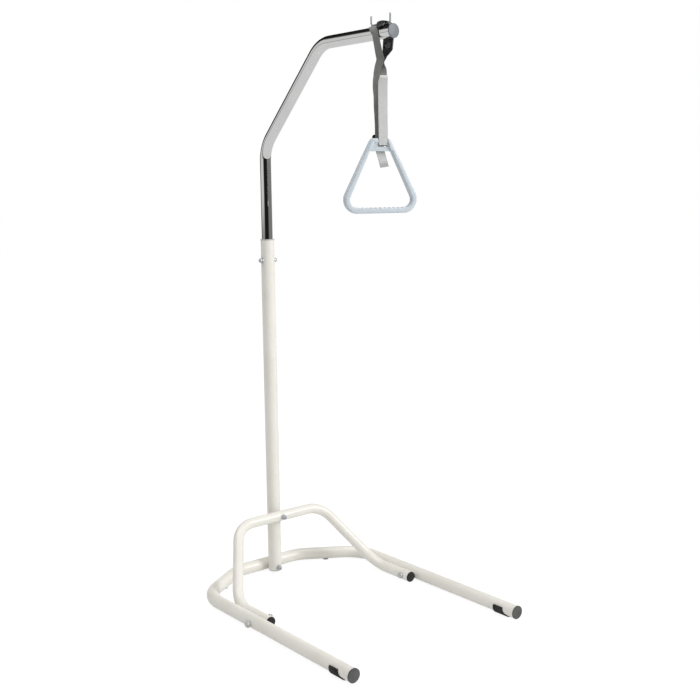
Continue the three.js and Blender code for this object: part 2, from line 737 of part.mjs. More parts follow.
// The loose end below the lock, leaning forward and aside
function strapTail() {
  const top = lock.pinZ - waistGap;
  const drop = top - hub.bottomZ + tailLength;
  const leanShares = [[0, 0, 0], [0.28, 0, 0], [0.42, 0.1, 0.08], [0.7, 0.55, 0.5], [1, 1, 1]];
  const asideShare = 0.38;
  const outShare = 0.54;
  return band(smoothStations(leanShares.map(([down, out, aside]) => ({
    point: gripPoint(
      lock.offset + web.width * asideShare * aside, -beltOut + web.width * outShare * out, top - drop * down,
    ),
    facing: level(gripDegrees),
  }))));
}

// The clip's section in X and Z: a hook with a bump over the guide rod, then a plate leaning in
function clipSection() {
  const rod = THREE.MathUtils.radToDeg(wire.rodAngle);
  const bump = { past: 4, flat: 26, ramp: 12 };
  const firstAngle = -72;
  const lastAngle = 90;
  const count = 27;
  const at = (degrees, wall) => {
    const fromMiddle = Math.abs(degrees - rod - bump.past);
    const share = THREE.MathUtils.smoothstep(bump.flat + bump.ramp - fromMiddle, 0, bump.ramp);
    const radius = THREE.MathUtils.lerp(clipInner, bumpInner, share) + wall;
    const angle = THREE.MathUtils.degToRad(degrees);
    return p(radius * Math.sin(angle), armZ + radius * Math.cos(angle));
  };
  const step = (lastAngle - firstAngle) / count;
  const angles = Array.from({ length: count + 1 }, (_, i) => firstAngle + i * step);
  const lean = (clip.leanTopZ - clip.bottomZ) * Math.tan(clip.lean);
  const plate = [
    p(clipOuter, clip.leanTopZ), p(clipOuter - lean, clip.bottomZ), p(clipInner - lean, clip.bottomZ),
    p(clipInner, clip.leanTopZ),
  ];
  const outside = angles.map((degrees) => at(degrees, clip.wall));
  const inside = angles.map((degrees) => at(degrees, 0)).reverse();
  return [...outside, ...plate, ...inside];
}

function clipPinPlace() {
  const inward = (clip.leanTopZ - clip.pinZ) * Math.tan(clip.lean);
  return v((clipInner + clipOuter) / 2 - inward, clip.windowY, clip.pinZ);
}

// The clip's side view in Y and Z: arched crown, shoulders, and a foot cut aslant
function clipOutline(low) {
  const width = clip.windowWidth;
  const rail = clip.cornerRadius;
  const top = armZ + bumpInner + clip.wall;
  const railShare = { cheek: 1.5, waist: 1.1, neck: 1.4 };
  const windowLeft = clip.windowY + width / 2;
  const windowRight = clip.windowY - width / 2;
  const corners = [
    p(clip.crownLeftY, top), p(clip.rightY, top), p(clip.rightY, clip.leanTopZ),
    p(windowRight - railShare.cheek * rail, clip.pinZ - rail / 2), p(windowRight + width / 6, low),
    p(windowLeft - width / 4, low), p(windowLeft + rail / 2, clip.pinZ - rail / 3),
    p(windowLeft + railShare.waist * rail, clip.windowTopZ),
    p(windowLeft + railShare.neck * rail, armZ - clipInner / 2),
    p(clip.crownLeftY, armZ),
  ];
  const radiusShares = [1.2, 2, 1, 0.8, 0.6, 0.3, 0.5, 0.8, 0.8, 0.8];
  return roundedOutline(corners, radiusShares.map((share) => share * rail));
}

// Clip: hook, windowed frame, and two cheeks that carry the lever's pin
function strapClip() {
  const far = 2 * bumpInner;
  const strip = slabAcrossY(clipSection(), clip.rightY - far, clip.crownLeftY + far);
  const window = block(
    v(0, clip.windowY - clip.windowWidth / 2, clip.bottomZ - cutOverrun),
    v(far, clip.windowY + clip.windowWidth / 2, clip.windowTopZ),
  );
  const edgeShares = [[0.71, 1.1], [1.11, 0.9], [1.49, 0.39]];
  const strapEdge = edgeShares.map(([aside, height]) => p(
    loopCrownY - web.width * aside, armZ + clipInner * height,
  ));
  const rightShare = 0.85;
  const rightZ = armZ + clipInner * rightShare;
  const nearSide = slabAcrossX([
    p(clip.crownLeftY + far, armZ + far), p(strapEdge[0].x, armZ + far), ...strapEdge,
    p(clip.rightY - clip.cornerRadius, rightZ), p(clip.rightY - far, rightZ),
    p(clip.rightY - far, armZ - far), p(clip.crownLeftY + far, armZ - far),
  ], -far, 0);
  const holeRadius = clipLever.pinDiameter / 2 + clipLever.sideGap / 2;
  const hole = bar('y', holeRadius, 2 * clip.windowWidth, clipPinPlace());
  const outline = slabAcrossX(clipOutline(clip.bottomZ), -far, far);
  return cut(solidOf(strip).intersect(solidOf(outline)), window, nearSide, hole);
}

function clipPin() {
  const length = clip.windowWidth + clip.cornerRadius;
  return bar('y', clipLever.pinDiameter / 2, length, clipPinPlace());
}

// Clip lever: a knuckle on the pin and a thumb plate with ribs, its foot cut like the frame's
function clipLeverPlate() {
  const pin = clipPinPlace();
  const half = clip.windowWidth / 2 - clipLever.sideGap;
  const drop = clip.pinZ - clip.bottomZ;
  const lean = drop * Math.tan(clip.lean);
  const t = clipLever.thickness / 2;
  const plate = slabAcrossY([
    p(pin.x + t, pin.z), p(pin.x + t - lean, clip.bottomZ),
    p(pin.x - t - lean, clip.bottomZ), p(pin.x - t, pin.z),
  ], clip.windowY - half, clip.windowY + half);
  const knuckle = bar('y', clipLever.knuckle, 2 * half, pin, roundSides / 2);
  const ribCount = 4;
  const ribs = Array.from({ length: ribCount }, (_, i) => {
    const share = (i + 2) / (ribCount + 2);
    const place = v(pin.x - t - lean * share, clip.windowY, pin.z - drop * share);
    return bar('y', t / 2, 2 * half, place, hexSides);
  });
  const foot = slabAcrossX(clipOutline(clip.bottomZ), -clipOuter, clipOuter);
  const body = solidOf(join(plate, knuckle, ...ribs)).intersect(solidOf(foot));
  return cut(body, bar('y', clipLever.pinDiameter / 2 + seatGap / 2, 2 * clip.windowWidth, pin));
}

// Grip frame: a rounded triangular loop with its apex filled by a thin hub
function gripFrame() {
  const halfOut = (z) => grip.outerHalf + grip.outerSlopeShare * (grip.levelZ - z);
  const halfIn = (z) => grip.innerHalf + grip.innerSlopeShare * (grip.levelZ - z);
  const barTopZ = grip.bottomZ + grip.barHeight;
  const mirrored = (rows) => [...rows.map(([w, z]) => p(-w, z)), ...rows.reverse().map(([w, z]) => p(w, z))];
  const outer = roundedOutline(
    mirrored([[halfOut(grip.topZ), grip.topZ], [halfOut(grip.bottomZ), grip.bottomZ]]),
    [grip.shoulderRadius, grip.cornerRadius, grip.cornerRadius, grip.shoulderRadius],
  );
  const inner = roundedOutline(
    mirrored([[halfIn(hub.bottomZ), hub.bottomZ], [halfIn(barTopZ), barTopZ]]),
    [grip.innerTopRadius, grip.innerRadius, grip.innerRadius, grip.innerTopRadius],
  );
  const shape = new THREE.Shape(outer);
  shape.holes.push(new THREE.Path(inner));
  const frame = new THREE.ExtrudeGeometry(shape, {
    depth: grip.thickness - 2 * grip.rounding, bevelThickness: grip.rounding, bevelSize: grip.rounding,
    bevelOffset: -grip.rounding, bevelSegments: bevelSteps,
  }).rotateX(quarter).translate(0, grip.thickness / 2 - grip.rounding, 0);
  const pocket = roundedOutline(
    mirrored([[halfIn(hub.pocketTopZ), hub.pocketTopZ], [halfIn(hub.bottomZ), hub.bottomZ - grip.rounding]]),
    [hub.pocketRadius, 0, 0, hub.pocketRadius],
  );
  const deep = grip.thickness;
  const channel = { low: slot.offset - slot.width / 2, high: slot.offset + slot.width / 2 };
  const backHalf = lock.width / 2 + lock.sideGap;
  const back = { low: lock.offset - backHalf, high: lock.offset + backHalf };
  const above = grip.topZ + cutOverrun;
  const rippleRadius = (ripple.pitch * ripple.pitch / 4 + ripple.depth * ripple.depth) / (2 * ripple.depth);
  const ripples = Array.from({ length: ripple.count }, (_, i) => bar(
    'y', rippleRadius, 2 * deep,
    v((i - (ripple.count - 1) / 2) * ripple.pitch, 0, barTopZ + rippleRadius - ripple.depth), 2 * roundSides,
  ));
  const body = cut(
    frame,
    slabAcrossY(pocket, -deep, -hubFace), slabAcrossY(pocket, hubFace, deep),
    block(v(channel.low, -deep, slot.lowZ), v(channel.high, -hubFace, above)),
    block(v(back.low, hubFace, slot.lowZ), v(back.high, deep, above)),
    block(v(channel.low, -deep, hub.topZ), v(channel.high, deep, above)),
    block(v(channel.low, -deep, slot.lowZ), v(channel.high, deep, slot.highZ)),
    ...ripples,
  );
  const earEnd = lockPinBehind() + lock.earRadius;
  const ear = [
    p(hubFace / 2, lock.pinZ - lock.earRadius), p(earEnd, lock.pinZ - lock.earRadius),
    p(earEnd, lock.pinZ + lock.earRadius), p(hubFace / 2, lock.pinZ + lock.earRadius),
  ];
  const earRound = lock.earRadius * lock.earRadiusShare;
  const earRadii = [0, earRound, earRound, 0];
  const ears = [back.low - lock.ear, back.high].map((low) => slabAcrossX(
    roundedOutline(ear, earRadii), low, low + lock.ear,
  ));
  const pinHole = bar('x', lock.pinDiameter / 2 + seatGap / 2, 2 * lock.width, lockPinPlace());
  return cut(join(body, ...ears), pinHole);
}

// The lock's pin stands behind the webbing by the cam's radius
function lockPinBehind() {
  return hubFace + web.thickness + 2 * seatGap + lock.cam;
}

function lockPinPlace() {
  return v(lock.offset, lockPinBehind(), lock.pinZ);
}

function lockPin() {
  return bar('x', lock.pinDiameter / 2, lock.width + 2 * lock.sideGap + 2 * lock.ear, lockPinPlace());
}

// Lock lever: a toothed cam against the webbing and a broad thumb plate standing up behind the grip
function lockLever() {
  const pin = lockPinPlace();
  const half = lock.width / 2;
  const cam = bar('x', lock.cam, lock.width, pin, roundSides);
  const outline = roundedOutline([
    p(pin.x - half, pin.z), p(pin.x + half, pin.z),
    p(pin.x + half, lock.armTopZ), p(pin.x - half, lock.armTopZ),
  ], [0, 0, lock.armRadius, lock.armRadius]);
  const arm = slabAcrossY(outline, pin.y, pin.y + lock.armThickness);
  const notches = Array.from({ length: lock.teeth }, (_, i) => {
    const angle = (i - (lock.teeth - 1) / 2) * lock.toothPitch;
    const place = v(pin.x, pin.y - lock.cam * Math.cos(angle), pin.z + lock.cam * Math.sin(angle));
    return bar('x', lock.tooth, 2 * lock.width, place, hexSides);
  });
  return cut(join(cam, arm), ...notches, bar('x', lock.pinDiameter / 2 + seatGap / 2, 2 * lock.width, pin));
}

function hungGrip(shape) {
  return geometryOf(solidOf(shape)).rotateZ(grip.turn).translate(grip.x, grip.y, 0);
}

add('base_frame', baseFrame(), paint);
add('post', post(), paint);
add('arch', arch(), paint);
add('post_foot_plug', postFootPlug(), darkPlastic);
add('post_top_bush', postTopBush(), palePlastic);
for (const [side, s] of sides) {
  const legPlug = tubePlug(baseTube, legPlugFlange, s * legHalfSpread, legFrontY, baseZ);
  const archPlug = tubePlug(archTube, archPlugFlange, s * archFootX, archFootFrontY, archFootZ);
  add(`leg_plug_${side}`, legPlug, darkPlastic);
  add(`leg_pad_${side}`, legPad(s), blackRubber);
  add(`rear_glide_${side}`, glideFoot(s), blackRubber);
  add(`arch_plug_${side}`, archPlug, blackPlastic);
  fastener(
    { bolt: `foot_bolt_${side}`, washer: `foot_washer_${side}`, nut: `foot_nut_${side}` }, v(s, 0, 0),
    v(s * (archFootX - archRadius), footBoltY, footBoltZ),
    v(s * (legHalfSpread + baseRadius), footBoltY, footBoltZ),
    largeCap,
  );
}
fastener(
  { bolt: 'post_base_bolt', washer: 'post_base_washer', nut: 'post_base_nut' }, v(0, -1, 0),
  v(0, rearBarY + baseRadius, postBoltZ), v(0, -postRadius, postBoltZ),
);
fastener(
  { bolt: 'post_arch_bolt', washer: 'post_arch_washer', nut: 'post_arch_nut' }, v(0, -1, 0),
  v(0, postRadius, archTopZ), v(0, archBarY - archRadius, archTopZ),
);
fastener(
  { bolt: 'height_bolt', headWasher: 'height_washer_left', washer: 'height_washer_right', nut: 'height_nut' },
  v(1, 0, 0), v(-postRadius, 0, heightBoltZ), v(postRadius, 0, heightBoltZ), smallCap,
);
add('boom', mast(), chrome);
add('boom_end_plug', tubePlug(mastTube, armPlugFlange, 0, armEndY, armZ), greyPlug);
add('boom_lower_bush', mastLowerBush(), blackPlastic);
add('strap_guide', strapGuide(), zinc);
add('strap_loop', strapLoop(), webbingDark);
add('strap_neck', strapNeck(), webbingDark);
add('strap_rear', strapRear(), webbingDark);
add('strap_front', strapFront(), webbingLight);
add('strap_tail', strapTail(), webbingLight);
add('strap_clip', strapClip(), blackPlastic);
add('clip_pin', clipPin(), zinc);
add('clip_lever', clipLeverPlate(), blackPlastic);
add('handle', hungGrip(gripFrame()), gripPlastic);
add('lock_pin', hungGrip(lockPin()), zinc);
add('lock_lever', hungGrip(lockLever()), blackPlastic);

// The whole stands over the middle of the floor area that it covers
const frontEndY = legFrontY - legPlugFlange.thickness - plug.crown / 2;
const backEndY = rearBarY + baseRadius + seatGap + bolt.headHeight;
group.position.setY(-(frontEndY + backEndY) / 2);

export default group;
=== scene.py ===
import json
import math

import bmesh
import bpy
import numpy as np
from mathutils import Matrix


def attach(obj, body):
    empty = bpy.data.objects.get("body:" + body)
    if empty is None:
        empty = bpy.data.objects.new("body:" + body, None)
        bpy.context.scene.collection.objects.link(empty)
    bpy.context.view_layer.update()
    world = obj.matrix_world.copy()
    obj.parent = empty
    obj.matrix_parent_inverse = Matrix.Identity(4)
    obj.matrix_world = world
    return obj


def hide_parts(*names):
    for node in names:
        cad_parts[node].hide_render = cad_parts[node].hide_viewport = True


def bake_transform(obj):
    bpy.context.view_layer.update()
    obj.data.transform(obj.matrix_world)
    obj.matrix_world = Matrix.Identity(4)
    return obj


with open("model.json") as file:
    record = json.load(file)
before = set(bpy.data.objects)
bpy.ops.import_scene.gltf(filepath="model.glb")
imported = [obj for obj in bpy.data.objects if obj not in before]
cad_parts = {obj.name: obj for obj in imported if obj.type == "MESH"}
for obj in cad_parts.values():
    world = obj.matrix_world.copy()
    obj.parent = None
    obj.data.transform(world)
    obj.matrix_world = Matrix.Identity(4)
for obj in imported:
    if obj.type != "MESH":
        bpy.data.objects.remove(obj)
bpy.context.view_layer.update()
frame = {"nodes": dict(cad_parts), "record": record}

record = frame["record"]
bodyOf = {node: body for body, nodes in record["behaviour"]["bodies"].items() for node in nodes}
slotOf = {entry["node"]: entry["material_slot"] for entry in record["subparts"]}
mm = 0.001
shift = np.array([0, 0.35505, 0])  # from the foot of the post to the middle of the floor area
up = np.array([0.0, 0.0, 1.0])
joining = {"weld": 1e-6, "sharpDegrees": 38, "leadWeight": 80}  # metres, degrees and percent
bandWidth = 25  # of the webbing, in millimetres
print("frame loaded:", len(frame["nodes"]), "nodes")


# Small helpers for arrays of vectors

def unit(vectors):
    # each vector divided by its own length
    return vectors / np.linalg.norm(vectors, axis=-1, keepdims=True)


def place(x, y, z):
    # millimetres from the foot of the post, as metres in the frame
    return np.array([x, y, z]) * mm + shift


def level(degrees):
    # (cos a, sin a, 0): a level direction by its angle from +X
    a = math.radians(degrees)
    return np.array([math.cos(a), math.sin(a), 0.0])


# Meshes from grids

def gridPiece(name, grid, closedRows=False, uv=None, sharpDegrees=joining["sharpDegrees"]):
    # a grid of rows and columns becomes quads between neighbours; columns always close on themselves
    rows, columns = grid.shape[:2]
    nextRow = (np.arange(rows) + 1) % rows
    nextColumn = (np.arange(columns) + 1) % columns
    r = np.arange(rows if closedRows else rows - 1)[:, None]
    c = np.arange(columns)[None, :]
    corners = [(r, c), (r, nextColumn[c]), (nextRow[r], nextColumn[c]), (nextRow[r], c)]
    spread = (len(r), columns)
    quads = np.stack([np.broadcast_to(row * columns + column, spread) for row, column in corners], -1)
    quads = quads.reshape(-1, 4)
    mesh = bpy.data.meshes.new(name)
    mesh.from_pydata(grid.reshape(-1, 3).tolist(), [], quads.tolist())
    if uv is not None:
        layer = mesh.uv_layers.new(name="bandMap")
        ends = np.stack([np.broadcast_to(end, spread) for end in (c, c + 1, c + 1, c)], -1).reshape(-1)
        lines = quads.reshape(-1) // columns
        layer.uv.foreach_set("vector", uv[lines, ends].reshape(-1).astype(np.float32))
    return settled(name, mesh, sharpDegrees)


def settled(name, mesh, sharpDegrees):
    # doubles merged, faces turned outwards, smooth shading with sharp edges past an angle
    work = bmesh.new()
    work.from_mesh(mesh)
    bmesh.ops.remove_doubles(work, verts=work.verts, dist=joining["weld"])
    bmesh.ops.dissolve_degenerate(work, edges=work.edges, dist=joining["weld"])
    bmesh.ops.recalc_face_normals(work, faces=work.faces)
    work.to_mesh(mesh)
    work.free()
    mesh.shade_smooth()
    mesh.set_sharp_from_angle(angle=math.radians(sharpDegrees))
    piece = bpy.data.objects.new(name, mesh)
    bpy.context.scene.collection.objects.link(piece)
    return piece


def smoothCopy(node):
    # the node's own triangles, joined at their corners and shaded smooth
    mesh = frame["nodes"][node].data.copy()
    return leading(settled("fine_" + node, mesh, joining["sharpDegrees"]))


def leading(piece):
    # large faces lead the shading of their corners
    faces = piece.modifiers.new("leading faces", "WEIGHTED_NORMAL")
    faces.keep_sharp = True
    faces.weight = joining["leadWeight"]
    return piece


def finishPiece(piece, nodes, material, body=None):
    # the piece takes its material and the body it rides, and the nodes it stands for are hidden
    piece.data.materials.clear()
    piece.data.materials.append(material)
    if body:
        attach(piece, body)
    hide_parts(*nodes)
    return piece


# Materials: expressions on sockets add Math nodes

class Signal:
    # one output socket of a material's nodes
    def __init__(self, finish, socket):
        self.finish = finish
        self.socket = socket

    def maths(self, operation, *values):
        # one Math node on the values, in their order
        inputs = dict(enumerate(values))
        return self.finish.node("ShaderNodeMath", {"operation": operation}, inputs)

    def __add__(self, other):
        return self.maths("ADD", self, other)

    def __radd__(self, other):
        return self.maths("ADD", other, self)

    def __sub__(self, other):
        return self.maths("SUBTRACT", self, other)

    def __rsub__(self, other):
        return self.maths("SUBTRACT", other, self)

    def __mul__(self, other):
        return self.maths("MULTIPLY", self, other)

    def __rmul__(self, other):
        return self.maths("MULTIPLY", other, self)

    def wave(self):
        # its sine, in radians
        return self.maths("SINE", self)

    def size(self):
        # its value without the sign
        return self.maths("ABSOLUTE", self)

    def steps(self, low, high):
        # 0 up to low and 1 from high on, between them t*t*(3 - 2*t)
        settings = {"interpolation_type": "SMOOTHSTEP"}
        inputs = {"Value": self, "From Min": low, "From Max": high}
        return self.finish.node("ShaderNodeMapRange", settings, inputs)


class Finish:
    # one material and the nodes in it
    def __init__(self, name):
        self.material = bpy.data.materials.new(name)
        self.material.use_nodes = True
        self.tree = self.material.node_tree
        self.tree.nodes.clear()

    def node(self, kind, settings, inputs, output=0):
        # any node: its settings first, then values or links on its sockets
        made = self.tree.nodes.new(kind)
        for key, value in settings.items():
            setattr(made, key, value)
        for key, value in inputs.items():
            if isinstance(value, Signal):
                self.tree.links.new(value.socket, made.inputs[key])
            else:
                made.inputs[key].default_value = value
        return Signal(self, made.outputs[output])

    def spot(self):
        # the place on the object, in metres
        return self.node("ShaderNodeTexCoord", {}, {}, "Object")

    def noise(self, scale, detail, stretch=None):
        # clouds of 1/scale metres, drawn out on the axes whose stretch is below 1
        vector = self.spot()
        if stretch:
            vector = self.node("ShaderNodeMapping", {}, {"Vector": vector, "Scale": stretch})
        return self.node("ShaderNodeTexNoise", {}, {"Vector": vector, "Scale": scale, "Detail": detail})

    def mix(self, share, first, second):
        # a colour mix takes its share on socket 0 and its colours on 6 and 7, and gives its result on 2
        start = (*first, 1) if isinstance(first, tuple) else first
        return self.node("ShaderNodeMix", {"data_type": "RGBA"}, {0: share, 6: start, 7: (*second, 1)}, 2)

    def bump(self, height, strength, depth):
        # the surface's direction as if it stood out by depth metres where height is 1
        return self.node("ShaderNodeBump", {}, {"Height": height, "Strength": strength, "Distance": depth})

    def show(self, surface):
        # the finished material, with this surface on its output
        output = self.tree.nodes.new("ShaderNodeOutputMaterial")
        self.tree.links.new(surface.socket, output.inputs["Surface"])
        return self.material

    def close(self, values):
        # the finished material, with these values on one Principled surface
        return self.show(self.node("ShaderNodeBsdfPrincipled", {}, values))


def tone(red, green, blue):
    # screen values from 0 to 255 as light: (v / full) ** gamma
    full, gamma = 255, 2.2
    return tuple((v / full) ** gamma for v in (red, green, blue))


def powderCoat():
    # cream paint drifting to a second shade, with a fine orange peel under a thin clear coat
    coat = {
        "colour": tone(236, 233, 225), "shade": tone(224, 220, 210), "shadeShare": 0.5, "roughness": 0.3,
        "cloudScale": 9, "cloudDetail": 4, "cloudFrom": 0.35, "cloudTo": 0.75, "cloudRoughness": 0.08,
        "clearCoat": 0.25, "clearRoughness": 0.12,
        "peelScale": 900, "peelDetail": 1, "peelStrength": 0.25, "peelDepth": 0.1 * mm,
    }
    finish = Finish("cream powder coat")
    cloud = finish.noise(coat["cloudScale"], coat["cloudDetail"])
    peel = finish.noise(coat["peelScale"], coat["peelDetail"])
    share = cloud.steps(coat["cloudFrom"], coat["cloudTo"]) * coat["shadeShare"]
    return finish.close({
        "Base Color": finish.mix(share, coat["colour"], coat["shade"]),
        "Roughness": coat["roughness"] + cloud * coat["cloudRoughness"],
        "Coat Weight": coat["clearCoat"], "Coat Roughness": coat["clearRoughness"],
        "Normal": finish.bump(peel, coat["peelStrength"], coat["peelDepth"]),
    })


def chromePlate():
    # a film drawn out along the tube dulls the metal a little, and a fine grain adds to its roughness
    plate = {
        "bright": tone(238, 238, 238), "film": tone(214, 214, 216), "filmShare": 0.3, "filmScale": 14,
        "filmDetail": 4, "filmStretch": (1, 1, 0.3), "filmFrom": 0.4, "filmTo": 0.8, "filmRoughness": 0.05,
        "grainScale": 300, "grainDetail": 2, "grainRoughness": 0.03,
    }
    finish = Finish("chrome plate")
    film = finish.noise(plate["filmScale"], plate["filmDetail"], plate["filmStretch"])
    grain = finish.noise(plate["grainScale"], plate["grainDetail"])
    share = film.steps(plate["filmFrom"], plate["filmTo"]) * plate["filmShare"]
    return finish.close({
        "Base Color": finish.mix(share, plate["bright"], plate["film"]), "Metallic": 1.0,
        "Roughness": film * plate["filmRoughness"] + grain * plate["grainRoughness"],
    })


def zincPlate():
    # bright grey spangled to a darker grey, with a fine grain
    plate = {
        "bright": tone(216, 219, 222), "dull": tone(186, 190, 194), "metallic": 0.55, "roughness": 0.26,
        "cloudScale": 220, "cloudDetail": 4, "cloudRoughness": 0.18,
        "grainScale": 1800, "grainDetail": 1, "grainStrength": 0.2, "grainDepth": 0.1 * mm,
    }
    finish = Finish("bright zinc plate")
    cloud = finish.noise(plate["cloudScale"], plate["cloudDetail"])
    grain = finish.noise(plate["grainScale"], plate["grainDetail"])
    return finish.close({
        "Base Color": finish.mix(cloud, plate["bright"], plate["dull"]), "Metallic": plate["metallic"],
        "Roughness": plate["roughness"] + cloud * plate["cloudRoughness"],
        "Normal": finish.bump(grain, plate["grainStrength"], plate["grainDepth"]),
    })


def wirePlate():
    # the same plating on the thin wire, darker and without a grain
    plate = {
        "bright": tone(176, 178, 181), "dull": tone(142, 145, 149), "metallic": 0.5, "roughness": 0.34,
        "cloudScale": 220, "cloudDetail": 4, "cloudRoughness": 0.18,
    }
    finish = Finish("dull zinc plate")
    cloud = finish.noise(plate["cloudScale"], plate["cloudDetail"])
    return finish.close({
        "Base Color": finish.mix(cloud, plate["bright"], plate["dull"]), "Metallic": plate["metallic"],
        "Roughness": plate["roughness"] + cloud * plate["cloudRoughness"],
    })


def mouldedPlastic(name, colour, worn, roughness=0.42, grainScale=1400, grainStrength=0.3):
    # one colour drifting to a worn one, over a fine grain
    plastic = {
        "cloudScale": 30, "cloudDetail": 1, "wornFrom": 0.35, "wornTo": 0.8, "cloudRoughness": 0.12,
        "grainDetail": 2, "grainDepth": 0.2 * mm,
    }
    finish = Finish(name)
    cloud = finish.noise(plastic["cloudScale"], plastic["cloudDetail"])
    grain = finish.noise(grainScale, plastic["grainDetail"])
    share = cloud.steps(plastic["wornFrom"], plastic["wornTo"])
    return finish.close({
        "Base Color": finish.mix(share, colour, worn),
        "Roughness": roughness + cloud * plastic["cloudRoughness"],
        "Normal": finish.bump(grain, grainStrength, plastic["grainDepth"]),
    })


def wovenBand(name, yarns, hemAndHighlight=None):
    # height = level + rib*sin(across) + pick*sin(along + lean*rib), in real sizes on the band's own map
    weave = {
        "rib": 1.6 * mm, "pick": 1.3 * mm, "pickLean": 1.4, "level": 0.5, "ribShare": 0.28, "pickShare": 0.22,
        "width": bandWidth * mm, "edgeWidth": 1.8 * mm, "edgeFade": 0.6, "edgeShare": 0.6, "gapShadeShare": 0.55,
        "cloudScale": 70, "cloudDetail": 4, "wearFrom": 0.45, "wearTo": 0.8, "wearShare": 0.35,
        "roughness": 0.72, "cloudRoughness": 0.15, "sheen": 0.15, "bumpStrength": 0.45, "bumpDepth": 0.3 * mm,
    }
    finish = Finish(name)
    mapped = finish.node("ShaderNodeUVMap", {"uv_map": "bandMap"}, {})
    across, along = (finish.node("ShaderNodeSeparateXYZ", {}, {0: mapped}, k) for k in range(2))
    rib = (across * (2 * math.pi / weave["rib"])).wave()
    pick = (along * (2 * math.pi / weave["pick"]) + rib * weave["pickLean"]).wave()
    height = weave["level"] + weave["ribShare"] * rib + weave["pickShare"] * pick
    fromEdge = weave["width"] / 2 - across.size()
    selvedge = 1 - fromEdge.steps(weave["edgeWidth"] * weave["edgeFade"], weave["edgeWidth"])
    cloud = finish.noise(weave["cloudScale"], weave["cloudDetail"])
    # the low parts between the yarns take the darker gap tone: painted shade in the hollows of the weave
    colour = finish.mix((1 - height) * weave["gapShadeShare"], yarns["warp"], yarns["gap"])
    colour = finish.mix(selvedge * weave["edgeShare"], colour, yarns["edge"])
    worn = cloud.steps(weave["wearFrom"], weave["wearTo"]) * weave["wearShare"]
    colour = finish.mix(worn, colour, yarns["wear"])
    # on the front strap this paints a near-white band along its top fold, a painted highlight where the fold
    # catches the light; on the tail it darkens the hemmed end
    if hemAndHighlight:
        hemAndHighlightShare = along.steps(hemAndHighlight["start"], hemAndHighlight["full"]) * hemAndHighlight["share"]
        colour = finish.mix(hemAndHighlightShare, colour, hemAndHighlight["colour"])
    return finish.close({
        "Base Color": colour, "Sheen Weight": weave["sheen"],
        "Roughness": weave["roughness"] + cloud * weave["cloudRoughness"],
        "Normal": finish.bump(height, weave["bumpStrength"], weave["bumpDepth"]),
    })


# gap is the painted shade between the yarns; warp, edge and wear are the yarns' own tones
darkYarns = {
    "warp": tone(134, 134, 132), "gap": tone(62, 62, 61), "edge": tone(108, 108, 106),
    "wear": tone(148, 148, 145),
}
paleYarns = {
    "warp": tone(206, 208, 206), "gap": tone(156, 157, 156), "edge": tone(190, 191, 189),
    "wear": tone(216, 217, 215),
}
# the front strap's top few millimetres are whitened, a painted highlight where its fold catches the light;
# the tail's darker end is its hem
topHighlight = {"start": 8 * mm, "full": 5 * mm, "share": 0.7, "colour": tone(236, 237, 235)}
endHem = {"start": 46 * mm, "full": 60 * mm, "share": 0.7, "colour": tone(146, 146, 145)}
gripSurface = {"roughness": 0.36, "grainScale": 300, "grainStrength": 0.02}
rubberSurface = {"roughness": 0.7, "grainScale": 900, "grainStrength": 0.5}
finishes = {
    "cream_paint": powderCoat(),
    "chrome": chromePlate(),
    "zinc_steel": zincPlate(),
    "dark_plastic": mouldedPlastic("dark grey plastic", tone(92, 92, 92), tone(78, 78, 78)),
    "black_plastic": mouldedPlastic("black plastic", tone(30, 31, 33), tone(44, 45, 47)),
    "pale_plastic": mouldedPlastic("pale grey plastic", tone(200, 199, 196), tone(184, 183, 180)),
    "grey_plug": mouldedPlastic("mid grey plastic", tone(117, 123, 128), tone(106, 111, 116)),
    "grip_plastic": mouldedPlastic(
        "pale blue-grey plastic", tone(199, 208, 215), tone(196, 205, 212), **gripSurface,
    ),
    "black_rubber": mouldedPlastic("black rubber", tone(34, 34, 34), tone(52, 52, 52), **rubberSurface),
    "webbing_dark": wovenBand("grey webbing", darkYarns),
}
# the pale straps: the front with a painted highlight along its top, the tail with its hemmed end
hemmedAndHighlit = {
    "strap_front": wovenBand("pale webbing with a painted top highlight", paleYarns, topHighlight),
    "strap_tail": wovenBand("pale webbing with a darker sewn end", paleYarns, endHem),
}
print("finishes made:", len(finishes) + len(hemmedAndHighlit))


# Bent tubes

sweep = {"stepDegrees": 2.5, "columns": 56, "nearlyUpright": 0.9}


def bentPath(corners, radii):
    # straight runs, and at each corner an arc: start + inward*r*(1 - cos a) + before*r*sin a
    corners = np.array([place(*corner) for corner in corners])
    runs = unit(np.diff(corners, axis=0))
    points = [corners[:1]]
    along = [runs[:1]]
    for corner, before, after, radius in zip(corners[1:-1], runs[:-1], runs[1:], radii):
        turn = math.acos(before @ after)
        r = radius * mm
        start = corner - before * r * math.tan(turn / 2)
        inward = unit(after - before * (before @ after))
        steps = math.ceil(math.degrees(turn) / sweep["stepDegrees"])
        a = np.linspace(0, turn, steps + 1)[:, None]
        points.append(start + inward * r * (1 - np.cos(a)) + before * r * np.sin(a))
        along.append(before * np.cos(a) + inward * np.sin(a))
    points.append(corners[-1:])
    along.append(runs[-1:])
    return np.concatenate(points), np.concatenate(along)


def carriedSides(along):
    # a side vector carried along the path, each time less its part along the next direction
    steep = abs(along[0] @ up) > sweep["nearlyUpright"]
    sides = [np.array([1.0, 0, 0]) if steep else unit(np.cross(along[0], up))]
    for direction in along[1:]:
        sides.append(unit(sides[-1] - direction * (sides[-1] @ direction)))
    sides = np.array(sides)
    return sides, np.cross(along, sides)


